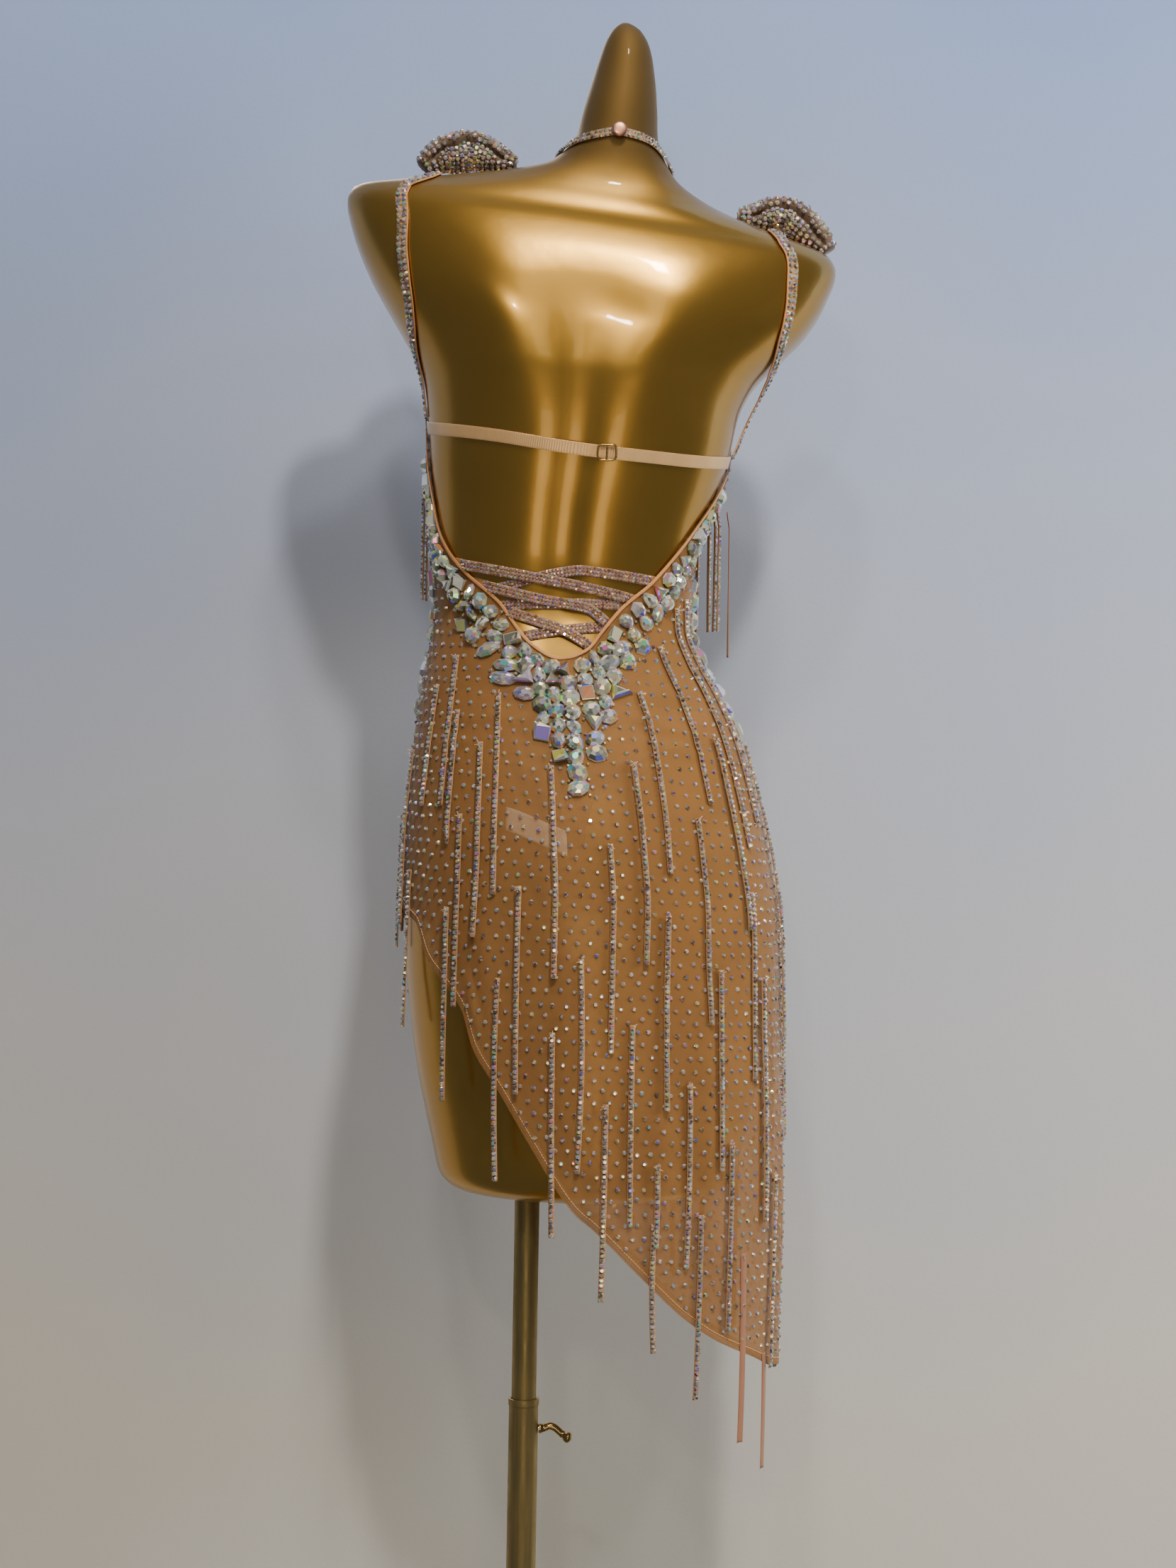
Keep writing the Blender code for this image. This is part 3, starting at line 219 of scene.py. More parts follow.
# %% Sections of the form and the skirt
SECTIONS = (  # height, centre, half, tilt, back, front, square
    (0.7215, 0.0500, 0.0600, 0.0, 0.045, 0.040, 2.2),
    (0.7235, 0.0500, 0.0900, 0.0, 0.068, 0.062, 2.2),
    (0.7300, 0.0500, 0.1150, 0.0, 0.085, 0.078, 2.3),
    (0.7420, 0.0500, 0.1255, 0.0, 0.094, 0.087, 2.3),
    (0.7600, 0.0500, 0.1300, 0.0, 0.099, 0.092, 2.3),
    (0.7900, 0.0497, 0.1365, 0.0, 0.103, 0.096, 2.3),
    (0.8200, 0.0496, 0.1430, 0.0, 0.107, 0.099, 2.3),
    (0.8700, 0.0490, 0.1505, 1.0, 0.113, 0.101, 2.3),
    (0.9200, 0.0490, 0.1555, 2.8, 0.119, 0.101, 2.3),
    (0.9700, 0.0490, 0.1560, 4.8, 0.123, 0.101, 2.3),
    (1.0200, 0.0460, 0.1515, 5.3, 0.120, 0.102, 2.3),
    (1.0700, 0.0420, 0.1430, 4.8, 0.110, 0.102, 2.3),
    (1.1160, 0.0375, 0.1330, 4.3, 0.095, 0.100, 2.3),
    (1.1500, 0.0320, 0.1225, 4.2, 0.083, 0.096, 2.3),
    (1.1800, 0.0260, 0.1135, 4.5, 0.074, 0.092, 2.3),
    (1.2100, 0.0220, 0.1075, 4.8, 0.069, 0.090, 2.3),
    (1.2470, 0.0210, 0.1085, 5.2, 0.071, 0.094, 2.3),
    (1.2900, 0.0240, 0.1140, 5.2, 0.079, 0.101, 2.3),
    (1.3250, 0.0285, 0.1220, 5.0, 0.087, 0.104, 2.3),
    (1.3600, 0.0330, 0.1280, 4.8, 0.094, 0.102, 2.3),
    (1.3920, 0.0345, 0.1335, 4.4, 0.099, 0.096, 2.3),
    (1.4150, 0.0355, 0.1430, 4.4, 0.101, 0.090, 2.3),
    (1.4460, 0.0380, 0.1660, 5.3, 0.100, 0.082, 2.4),
    (1.4730, 0.0390, 0.1860, 6.4, 0.096, 0.073, 2.5),
    (1.5050, 0.0395, 0.2020, 7.2, 0.086, 0.063, 2.5),
    (1.5330, 0.0405, 0.2095, 7.4, 0.071, 0.052, 2.5),
    (1.5450, 0.0405, 0.2045, 7.5, 0.062, 0.047, 2.4),
    (1.5570, 0.0420, 0.1620, 7.8, 0.056, 0.043, 2.3),
    (1.5660, 0.0450, 0.1230, 8.2, 0.051, 0.041, 2.2),
    (1.5750, 0.0510, 0.0890, 8.4, 0.047, 0.040, 2.1),
    (1.5890, 0.0570, 0.0560, 7.5, 0.044, 0.041, 2.0),
    (1.6070, 0.0600, 0.0400, 5.5, 0.043, 0.042, 2.0),
    (1.6190, 0.0611, 0.0345, 3.5, 0.041, 0.043, 2.0),
    (1.6420, 0.0632, 0.0313, 1.5, 0.037, 0.041, 2.0),
    (1.6700, 0.0659, 0.0261, 0.0, 0.029, 0.035, 2.0),
    (1.6970, 0.0675, 0.0193, 0.0, 0.020, 0.026, 2.0),
    (1.7110, 0.0670, 0.0115, 0.0, 0.011, 0.016, 2.0),
    (1.7165, 0.0660, 0.0040, 0.0, 0.003, 0.007, 2.0),
)
SKIRT = (
    (0.4800, 0.0500, 0.1585, 0.0, 0.106, 0.092, 2.3),
    (0.6200, 0.0505, 0.1590, 0.0, 0.113, 0.098, 2.3),
    (0.7200, 0.0505, 0.1592, 0.5, 0.118, 0.101, 2.3),
    (0.8000, 0.0500, 0.1590, 1.5, 0.1215, 0.103, 2.3),
    (0.8700, 0.0495, 0.1582, 2.8, 0.1235, 0.103, 2.3),
    (0.9200, 0.0492, 0.1570, 3.8, 0.1240, 0.102, 2.3),
)
NECK = (  # angle, height of the low back's edge
    (-90, 1.368), (-79, 1.315), (-69, 1.276), (-60, 1.259), (-46, 1.240), (-26, 1.2165), (-12, 1.183),
    (-3, 1.1725), (5, 1.180), (13.5, 1.198), (24.5, 1.2225), (41, 1.2475), (61.5, 1.2875), (78, 1.325),
    (90, 1.350),
)
HEM = (  # angle, height of the slanting hem
    (-90, 0.958), (-75, 0.951), (-61, 0.9425), (-52, 0.914), (-44, 0.899), (-35, 0.8776), (-31, 0.850),
    (-22, 0.8166), (-12, 0.772), (-2, 0.724), (5.6, 0.6976), (15, 0.6687), (27, 0.638), (39, 0.618),
    (55, 0.602), (70, 0.590), (90, 0.582),
)
CUP_TOP = (  # angle, height of the front neckline
    (90, 1.350), (102, 1.372), (115, 1.392), (128, 1.402), (145, 1.378), (162, 1.335), (180, 1.292),
    (198, 1.335), (215, 1.378), (232, 1.402), (245, 1.396), (258, 1.385), (270, 1.368),
)
print("sections:", len(SECTIONS), "of the form and", len(SKIRT), "of the free skirt")

# %% Levels and swellings
UNDERBUST = 1.262
FRONT_DROP = 0.030  # how much lower the hem hangs at the middle of the front
FREE_FROM = 0.97  # the height from which the skirt follows the form upwards
CLEAR, CLOTH, SIT = 0.0009, 0.0010, 0.0006  # gap over the form, thickness of cloth, stand-off of a stone
BRIEF_TOP, BUST_LEVEL = 1.138, 1.325
# swellings of the skin: how far out, how far across and how wide, at what height and how tall
BLADES = (0.005, 0.42, 0.2, 1.45, 0.06)
GROOVE = (0.005, 0.0, 0.16, 1.33, 0.13)
BUST = (0.030, 0.066, 0.048, BUST_LEVEL, 0.053)
print("from the top of the brief to the bust:", round(BUST_LEVEL - BRIEF_TOP, 3), "m")


# %% Curves through tables
def smooth(table):
    """A curve through a table's rows that never overshoots them, for an array of its first column."""
    rows = np.array(table, dtype=float)
    keys, values = rows[:, 0], rows[:, 1:]
    slopes = np.diff(values, axis=0) / np.diff(keys)[:, None]
    product = slopes[:-1] * slopes[1:]
    total = np.where(product > 0, slopes[:-1] + slopes[1:], 1.0)
    tangents = np.vstack((slopes[:1], np.where(product > 0, 2 * product / total, 0.0), slopes[-1:]))

    def at(key):
        key = np.clip(np.atleast_1d(np.asarray(key, float)), keys[0], keys[-1])
        i = np.clip(np.searchsorted(keys, key) - 1, 0, len(keys) - 2)
        width = (keys[i + 1] - keys[i])[:, None]
        u = (key - keys[i])[:, None] / width
        return ((2 * u**3 - 3 * u**2 + 1) * values[i] + (u**3 - 2 * u**2 + u) * width * tangents[i]
                + (3 * u**2 - 2 * u**3) * values[i + 1] + (u**3 - u**2) * width * tangents[i + 1])

    return at


def unit(rows):
    return rows / np.linalg.norm(rows, axis=-1, keepdims=True)


def run_along(line):
    """How far along a line each of its points lies."""
    return np.concatenate(([0], np.cumsum(np.linalg.norm(np.diff(line, axis=0), axis=1))))


def swelling(across, height, out, middle, reach, level, tall, power=2):
    return out * np.exp(-(((np.abs(across) - middle) / reach) ** 2) - ((height - level) / tall) ** power)


form_section = smooth(SECTIONS)
dress_section = smooth(SKIRT + tuple(row for row in SECTIONS if row[0] >= FREE_FROM))
neck_height, hem_back, cup_height = (lambda a, at=smooth(t): at(a)[:, 0] for t in (NECK, HEM, CUP_TOP))
print("the low back's edge at its middle:", round(float(neck_height(0)[0]), 3), "m up")


# %% Points of the body and their directions
def hem_height(angle):
    angle = np.atleast_1d(np.asarray(angle, float))
    front = hem_back(180 - angle) - FRONT_DROP * np.abs(np.cos(np.radians(angle))) ** 0.5
    return np.where(np.abs(angle) <= 90, hem_back(angle), front)


def body(section, angle, height, groove=False):
    """Points of the body's skin, one row each."""
    angle, height = np.broadcast_arrays(np.atleast_1d(np.asarray(angle, float)), np.atleast_1d(height))
    centre, half, tilt, back, front, square = section(height).T
    side, facing = np.sin(np.radians(angle)), np.cos(np.radians(angle))
    share = np.copysign(np.abs(side) ** (2 / square), side)
    depth = np.abs(facing) ** (2 / square)
    across = half * share
    back_shape = swelling(share, height, *GROOVE, power=4) * groove
    y = np.where(facing > 0, -back * depth - swelling(share, height, *BLADES) + back_shape,
                 front * depth + swelling(across, height, *BUST))
    lean = np.radians(tilt)
    return np.stack((centre + across * np.cos(lean), y, height - across * np.sin(lean)), axis=1)


def outward(section, angle, height):
    round_it = body(section, np.add(angle, 0.4), height) - body(section, np.subtract(angle, 0.4), height)
    up_it = body(section, angle, np.add(height, 0.0015)) - body(section, angle, np.subtract(height, 0.0015))
    return unit(np.cross(round_it, up_it))


def lifted(section, angle, height, lift, groove=False):
    lift = np.atleast_1d(lift)[:, None]
    return body(section, angle, height, groove) + lift * outward(section, angle, height)


print("form is", round(SECTIONS[-1][0] - SECTIONS[0][0], 3), "m tall")


# %% [markdown]
# ## How cloth creases
# Stretch mesh lies tight over the hips, so its creases are few: short pulls across the lower back, soft
# upright folds where the skirt hangs free, and a ripple along the hem. Each is one row of a table: where it
# starts and ends, how wide and how high it is. They only stand outwards, so nothing sinks into the form.
# They could be simulated, but a table is quicker here and puts each one where the cloth is pulled.

# %% Creases
CREASES = (  # start angle, height, end angle, height, width, rise
    (12, 1.128, 44, 1.116, 0.0060, 0.0013), (16, 1.108, 52, 1.097, 0.0050, 0.0010),
    (24, 1.146, 50, 1.150, 0.0045, 0.0008), (-14, 1.120, -46, 1.112, 0.0055, 0.0010),
    (-20, 1.098, -58, 1.092, 0.0050, 0.0008), (-4, 0.965, -3, 0.775, 0.0090, 0.0022),
    (33, 0.905, 36, 0.660, 0.0100, 0.0024), (57, 0.860, 60, 0.640, 0.0080, 0.0020),
    (18, 0.840, 21, 0.690, 0.0080, 0.0018), (-30, 0.985, -27, 0.850, 0.0080, 0.0016),
    (-34, 0.905, -30, 0.862, 0.0050, 0.0024), (76, 0.820, 79, 0.640, 0.0090, 0.0020),
    (122, 0.880, 119, 0.650, 0.0095, 0.0022), (146, 0.860, 143, 0.690, 0.0085, 0.0020),
    (166, 0.900, 167, 0.730, 0.0090, 0.0020), (196, 0.970, 195, 0.830, 0.0085, 0.0018),
    (222, 0.985, 220, 0.890, 0.0070, 0.0014), (135, 1.120, 160, 1.112, 0.0055, 0.0010),
    (200, 1.118, 226, 1.108, 0.0050, 0.0009),
)
A_DEGREE = 0.0021  # metres of cloth to a degree, near enough for a crease
BOLD = 1.35  # how much every crease is raised over its table value
RIPPLE, RIPPLES, RIPPLE_FROM = 0.0009, 11, 0.99  # rise, turns and highest level of the waves along the hem
print("creases:", len(CREASES))


# %% Creases as a lift of the cloth
def creased(angle, height):
    """How far the creases lift the cloth at each angle and height."""
    angle, height = np.broadcast_arrays(np.asarray(angle, float), np.asarray(height, float))
    rise = np.zeros(angle.shape)
    for a0, h0, a1, h1, width, high in CREASES:
        ax, ay = (angle - a0) * A_DEGREE, height - h0
        bx, by = (a1 - a0) * A_DEGREE, h1 - h0
        share = np.clip((ax * bx + ay * by) / (bx * bx + by * by), 0, 1)
        away = np.hypot(ax - share * bx, ay - share * by)
        faded = np.sin(np.pi * (0.12 + 0.80 * share))  # towards both ends
        rise = np.maximum(rise, BOLD * high * np.exp(-((away / width) ** 2)) * faded)
    low = np.clip((RIPPLE_FROM - height) / 0.25, 0, 1)
    return rise + low * RIPPLE * (1 + np.sin(np.radians(angle * RIPPLES) + 9 * height))


def under(height):
    """What lies between the form and the dress: air, and from just above it downwards the brief."""
    share = np.clip((BRIEF_TOP + 0.062 - np.asarray(height, float)) / 0.060, 0, 1)
    return CLEAR + 0.0031 * share * share * (3 - 2 * share)


def cup_rise(height):
    """The soft pad in a cup, thickest at the level of the bust."""
    return 0.0018 * np.exp(-(((height - BUST_LEVEL) / 0.05) ** 2))


def on_dress(angle, height, lift):
    angle, height = np.broadcast_arrays(np.atleast_1d(np.asarray(angle, float)), np.atleast_1d(height))
    cup = np.where((angle > 90) & (height > UNDERBUST), cup_rise(height), 0)
    return lifted(dress_section, angle, height, under(height) + cup + CLOTH + lift + creased(angle, height))


print("tallest crease:", round(1000 * BOLD * max(row[-1] for row in CREASES), 1), "mm")


# %% [markdown]
# ## A sheet of points
# Nearly every piece here is a flat grid of points wrapped over a surface: a panel, a band, a tube. So one
# helper makes the grid with a mesh operator, hands each point's place on the grid to a rule that says where
# it goes, and welds the edges that meet.

# %% Helpers for pieces
def enrol(name, mesh, finish, body_name="form", replaces=()):
    """A finished mesh as a piece: its finish, the body it rides on and the nodes it stands for."""
    thing = linked(name, mesh, finish)
    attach(thing, body_name)
    if replaces:
        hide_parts(*replaces)
    return thing


def keep(name, shape, finish, body_name="form", sharp=40, replaces=()):
    mesh = bpy.data.meshes.new(name)
    shape.to_mesh(mesh)
    shape.free()
    mesh.shade_smooth()
    if sharp:
        mesh.set_sharp_from_angle(angle=math.radians(sharp))
    return enrol(name, mesh, finish, body_name, replaces)


def wrapped(across, along, place, weld=True, fill=False, size=(1, 1)):
    """A grid of across by along faces, each point sent to place(u, v) with u and v from 0 to 1."""
    shape = bmesh.new()
    layer = shape.loops.layers.uv.new("UVMap")
    bmesh.ops.create_grid(shape, x_segments=across, y_segments=along, size=0.5)
    flat = np.array([corner.co[:2] for corner in shape.verts]) + 0.5
    for face in shape.faces:
        for loop in face.loops:
            loop[layer].uv = ((loop.vert.co.x + 0.5) * size[0], (loop.vert.co.y + 0.5) * size[1])
    for corner, spot in zip(shape.verts, place(flat[:, 0], flat[:, 1])):
        corner.co = spot
    if weld:
        bmesh.ops.remove_doubles(shape, verts=shape.verts, dist=1e-6)
    if fill:
        rim = [edge for edge in shape.edges if edge.is_boundary]
        bmesh.ops.holes_fill(shape, edges=rim, sides=0)
        bmesh.ops.recalc_face_normals(shape, faces=shape.faces)
    return shape


def thicken(thing, thickness):
    cloth = thing.modifiers.new("cloth", "SOLIDIFY")
    cloth.thickness = thickness
    cloth.offset = -1
    return thing


# %% [markdown]
# ## The display form
# It is moulded glass fibre, sprayed with a pearl gold and clear lacquer, then polished. Under the lacquer
# the pearl is a soft metal, so the base shader is metallic and fairly rough and a smooth clear coat on top
# gives the sharp mirror patches. The neck has lost most of its gloss, and its colour is painted darker there
# as shade. The solid's sections are drawn here with far more points.

# %% Lacquer and form
lacquer, tree, shader = surface("pearl gold lacquer on moulded glass fibre", Metallic=0.95, Roughness=0.29,
                                Coat_Weight=0.45, Coat_Roughness=0.06)
NECK_FROM, NECK_FULL = 1.545, 1.600  # the form is lifted by its neck, where the gloss has worn off
NECK_DULLER, NECK_COAT_LESS, NECK_DARKER = 0.42, -0.38, 0.80
spot = add(tree, "ShaderNodeTexCoord").outputs["Object"]
haze = add(tree, "ShaderNodeTexNoise", {"Vector": spot, "Scale": 9.0, "Detail": 4.0, "Roughness": 0.6})
pearl = add(tree, "ShaderNodeMix", {"Factor": haze.outputs["Fac"], 6: colour("b2883a"), 7: colour("cc9f49")},
            data_type="RGBA")
upward = add(tree, "ShaderNodeSeparateXYZ", {"Vector": spot}).outputs["Z"]
wear = add(tree, "ShaderNodeMapRange", {"Value": upward, "From Min": NECK_FROM, "From Max": NECK_FULL})
worn = wear.outputs[0]
dull = add(tree, "ShaderNodeMath", {0: worn, 1: NECK_DULLER, 2: 0.29}, operation="MULTIPLY_ADD")
thinner = add(tree, "ShaderNodeMath", {0: worn, 1: NECK_COAT_LESS, 2: 0.45}, operation="MULTIPLY_ADD")
# painted shade: from NECK_FROM up the pearl colour is mixed towards a dark olive, up to NECK_DARKER of it
neck_painted_shade = add(tree, "ShaderNodeMath", {0: worn, 1: NECK_DARKER}, operation="MULTIPLY")
neck_shaded_pearl = add(tree, "ShaderNodeMix", {"Factor": neck_painted_shade.outputs[0], 6: pearl.outputs[2], 7: colour("7a6643")},
              data_type="RGBA")
orange_peel = add(tree, "ShaderNodeTexNoise", {"Vector": spot, "Scale": 55.0, "Detail": 2.0})  # 18 mm ripples
peel = orange_peel.outputs["Fac"]
bump = add(tree, "ShaderNodeBump", {"Height": peel, "Strength": 0.10, "Distance": 0.0012})
feed(shader, Base_Color=neck_shaded_pearl.outputs[2], Roughness=dull.outputs[0], Coat_Weight=thinner.outputs[0],
     Normal=bump.outputs[0], Coat_Normal=bump.outputs[0])


print("the neck is worn from", NECK_FROM, "m up")


# %% The form's shell
def even_heights(section, low, high):
    """A rule from 0..1 to a height, spacing rings evenly along the body's outline."""
    heights = np.linspace(low, high, 1500)
    line = sum(np.linalg.norm(np.diff(body(section, a, heights), axis=0), axis=1) for a in (0, 90, 180, 270))
    run = np.concatenate(([0], np.cumsum(line)))
    return lambda v: np.interp(v * run[-1], run, heights)


ring_height = even_heights(form_section, SECTIONS[0][0], SECTIONS[-1][0])
shape = wrapped(144, 210, lambda u, v: body(form_section, u * 360, ring_height(v), groove=True), fill=True)
print("form faces:", len(shape.faces))
keep("form_shell", shape, lacquer, sharp=0, replaces=["dress_form"])

# %% [markdown]
# ## Cloth and thread
# The dress is cut from stretch mesh: nylon and elastane knitted so finely that the skin shows through as a
# warm tint. The shader is therefore partly see-through, with a bump for the knit and a little sheen from
# the yarn. Its pattern reads the UV map, which is laid out in metres, so the knit keeps its size on every
# piece. The edges and the strap that shines are elastane satin, which is closed cloth with fine ribs.

# %% Cloth materials
def knit(name, code_dark, code_light, pitch, see, sheen=0.35, rough=0.62):
    """Warp-knitted mesh; pitch is a loop's width in metres, twice as coarse as real so that it shows."""
    made, tree, shader = surface(name, Roughness=rough, Alpha=see, Sheen_Weight=sheen, Sheen_Roughness=0.45)
    place = add(tree, "ShaderNodeUVMap", uv_map="UVMap").outputs[0]
    shift = add(tree, "ShaderNodeTexNoise", {"Vector": place, "Scale": 22.0, "Detail": 3.0})
    dark, light = colour(code_dark), colour(code_light)
    tone = add(tree, "ShaderNodeMix", {"Factor": shift.outputs["Fac"], 6: dark, 7: light}, data_type="RGBA")
    grid = add(tree, "ShaderNodeMapping", {"Vector": place, "Rotation": (0, 0, math.radians(45))})
    loops = add(tree, "ShaderNodeTexVoronoi",
                {"Vector": grid.outputs[0], "Scale": 1 / pitch, "Randomness": 0.15}).outputs["Distance"]
    gaps = add(tree, "ShaderNodeMapRange", {"Value": loops, "From Min": 0.1, "From Max": 0.7}).outputs[0]
    faint = add(tree, "ShaderNodeMath", {0: gaps, 1: 0.45}, operation="MULTIPLY").outputs[0]
    shade = add(tree, "ShaderNodeMix", {"Factor": faint, 6: tone.outputs[2], 7: dark}, data_type="RGBA")
    bump = add(tree, "ShaderNodeBump", {"Height": gaps, "Strength": 0.22, "Distance": 0.0003}, invert=True)
    feed(shader, Base_Color=shade.outputs[2], Normal=bump.outputs[0])
    return made


def satin(name, code, ribs, rough=0.38, metal=0.0, way="X"):
    """Elastane satin; ribs is the spacing of its fine ribs in metres, way the axis they are counted along."""
    made, tree, shader = surface(name, Roughness=rough, Sheen_Weight=0.15, Metallic=metal)
    place = add(tree, "ShaderNodeUVMap", uv_map="UVMap").outputs[0]
    waves = 0.1 * math.pi / ribs / 2  # the wave texture's scale for that spacing
    lines = add(tree, "ShaderNodeTexWave",
                {"Vector": place, "Scale": waves, "Distortion": 0.6, "Detail": 1.0}, bands_direction=way)
    shift = add(tree, "ShaderNodeTexNoise", {"Vector": place, "Scale": 60.0, "Detail": 2.0})
    light = colour(code)
    dark = tuple(c * 0.72 for c in light[:3]) + (1.0,)
    tone = add(tree, "ShaderNodeMix", {"Factor": shift.outputs["Fac"], 6: dark, 7: light}, data_type="RGBA")
    bump = add(tree, "ShaderNodeBump", {"Height": lines.outputs["Fac"], "Strength": 0.25, "Distance": 0.0003})
    feed(shader, Base_Color=tone.outputs[2], Normal=bump.outputs[0])
    return made


skirt_mesh = knit("tan nylon stretch mesh, warp-knitted", "785530", "986c3c", 0.0018, 0.46, sheen=0.10)
brief_mesh = knit("doubled nylon power mesh", "8a5f2e", "b0824a", 0.0014, 0.40, sheen=0.08)
bare_mesh = knit("plain nude mesh strips, cut edges", "6e4938", "8e634b", 0.0014, 1.0, sheen=0.08)
strip_mesh = knit("nude nylon mesh strips", "7a5836", "a67c54", 0.0014, 1.0, sheen=0.12)
nude_satin = satin("nude elastane satin", "b07a48", 0.0012)
strap_satin = satin("ribbed elastic satin", "d2aa76", 0.0008, 0.28, metal=0.5, way="Y")
tape_cloth = satin("pale woven tape", "fff6e4", 0.0008, 0.6)
thread, tree, shader = surface("spun nylon thread", Roughness=0.5, Sheen_Weight=0.3)
spot = add(tree, "ShaderNodeTexCoord").outputs["Object"]
fuzz = add(tree, "ShaderNodeTexNoise", {"Vector": spot, "Scale": 900.0})  # 1 mm light and dark along it
yarn = add(tree, "ShaderNodeMix", {"Factor": fuzz.outputs["Fac"], 6: colour("b08a64"), 7: colour("e4c6a2")},
           data_type="RGBA")
feed(shader, Base_Color=yarn.outputs[2])
print("cloth and thread materials:", 8)

# %% [markdown]
# ## Skirt, cups and brief
# Each panel is one thin shell, laid on the body's surface and lifted by its creases. A panel's UV map is
# measured in metres along its own width and length, for the knit. The brief and its blank label lie under
# the skirt. Panels could be cut flat and pulled on by a simulation; laid on the surface directly, they meet
# at their seams and stay clear of the form.

# %% Edges, lifts and panels
SEAM = 0.045  # degrees that a panel stops short of the side seam, so that two never touch
CUT = 0.00015  # half the gap between the front panel and the cups


def above(height):
    return under(height) + CLOTH


def skirt_lift(angle, height):
    return above(height) + creased(angle, height)


def cup_lift(angle, height):
    return above(height) + cup_rise(height) + 0.0003


def level(height):
    """An edge that runs level round the body."""
    return lambda angle: np.full(np.shape(angle), height)


def panel(name, start, end, low, high, lift, steps, finish, node, section=dress_section):
    """A panel between two angles and two edges; its UV map is as long and wide in metres as the panel."""
    wide = np.linalg.norm(np.diff(body(section, np.linspace(start, end, 60), 1.0), axis=0), axis=1).sum()
    tall = float(np.max(high(np.linspace(start, end, 40)) - low(np.linspace(start, end, 40))))

    def place(u, v):
        angle = start + (end - start) * u
        height = low(angle) + (high(angle) - low(angle)) * v
        return lifted(section, angle, height, lift(angle, height))
    shape = wrapped(*steps, place, weld=False, size=(wide, tall))
    return thicken(keep(name, shape, finish, sharp=0, replaces=[node]), 0.0006)


print("under the skirt at the hips:", round(1000 * float(under(1.0)), 2), "mm of air and brief")


# %% Cut the panels
back = panel("skirt_back", -90 + SEAM, 90 - SEAM, hem_height, neck_height, skirt_lift, (150, 210), skirt_mesh,
             "back_panel")
front = panel("skirt_front", 90 + SEAM, 270 - SEAM, hem_height, level(UNDERBUST - CUT), skirt_lift,
              (150, 170), skirt_mesh, "front_panel")
cups = [panel(f"bust_cup_{side}", start, end, level(UNDERBUST + CUT), cup_height, cup_lift, (70, 44),
              skirt_mesh, f"cup_{side}")
        for side, start, end in (("right", 90 + SEAM, 180 - 0.07), ("left", 180 + 0.07, 270 - SEAM))]
brief_low = smooth((
    (-80, 1.090), (-60, 1.060), (-40, 1.020), (-20, 0.995), (-4, 0.990), (-0.8, 1.006), (0.5, 1.050),
    (12.7, 1.087), (30, 1.105), (60, 1.115), (80, 1.118)))
brief = panel("brief_back_satin", -80, 80, lambda a: brief_low(a)[:, 0], level(BRIEF_TOP),
              lambda a, h: CLEAR + CLOTH - 0.0001, (100, 24), brief_mesh, "brief_back",
              section=form_section)
label_at = smooth((  # angle, top, bottom
    (-22.5, 1.0440, 1.0250), (-20.0, 1.0430, 1.0236), (-10.0, 1.0350, 1.0150), (-4.5, 1.0300, 1.0098)))
label = panel("label_tape", -22.5, -4.5, lambda a: label_at(a)[:, 1], lambda a: label_at(a)[:, 0],
              lambda a, h: CLEAR + 2 * CLOTH + 0.0004, (16, 10), tape_cloth, "label_patch",
              section=form_section)
print("panels:", 6, "hem from", round(float(hem_height(90)[0]), 3), "to", round(float(hem_height(-90)[0]), 3))

# %% [markdown]
# ### Hem, topstitching and the bound edge
# The hem is a plain 7 mm band turned up and topstitched. The low back has a narrow satin binding. A binding
# is a flat tube: a grid that is wrapped round a flattened ring and led along the edge. A bevelled curve
# could do it too, but here the ring is set square to the body at every step, so the band never twists.

# %% Smooth lines
def catmull(points, count, closed=False):
    """A smooth curve through points, as count rows."""
    rows = np.array(points, dtype=float)
    if closed:
        rows = np.vstack((rows[-2:], rows, rows[:3]))
        first, last = 2, len(rows) - 3
    else:
        rows = np.vstack((2 * rows[0] - rows[1], rows, 2 * rows[-1] - rows[-2]))
        first, last = 1, len(rows) - 2
    t = np.linspace(first, last, count, endpoint=not closed)
    i = np.minimum(t.astype(int), last - 1)
    u = (t - i)[:, None]
    a, b, c, d = rows[i - 1], rows[i], rows[i + 1], rows[i + 2]
    return 0.5 * (2 * b + (c - a) * u + (2 * a - 5 * b + 4 * c - d) * u * u + (3 * b - a - 3 * c + d) * u**3)


def rising(points, count):
    """A smooth curve of points whose angle only rises."""
    rows = sorted(points)
    at = smooth(rows)
    angle = np.linspace(rows[0][0], rows[-1][0], count)
    return np.column_stack((angle, at(angle)))


def steps_ahead(line, closed=False):
    """The direction of a line at each of its points."""
    ahead = np.roll(line, -1, 0) - np.roll(line, 1, 0)
    if not closed:
        ahead[0], ahead[-1] = line[1] - line[0], line[-1] - line[-2]
    return unit(ahead)


print("half way from 0 to 1:", catmull([(0, 0), (1, 0)], 3)[1, 0])


# %% Routes and ribbons
def route(path, lift, section=form_section, closed=False, on_cloth=False):
    """Centres, side and outward directions along a path of angle, height, stand-off."""
    path = np.asarray(path, float)
    off = path[:, 2] if path.shape[1] > 2 else 0.0
    angle, height = path[:, 0], path[:, 1]
    centre = on_dress(angle, height, lift + off) if on_cloth else lifted(section, angle, height, lift + off)
    out = outward(section, angle, height)
    ahead = steps_ahead(centre, closed)
    out = unit(out - ahead * np.sum(out * ahead, axis=1)[:, None])
    return centre, np.cross(out, ahead), out, ahead


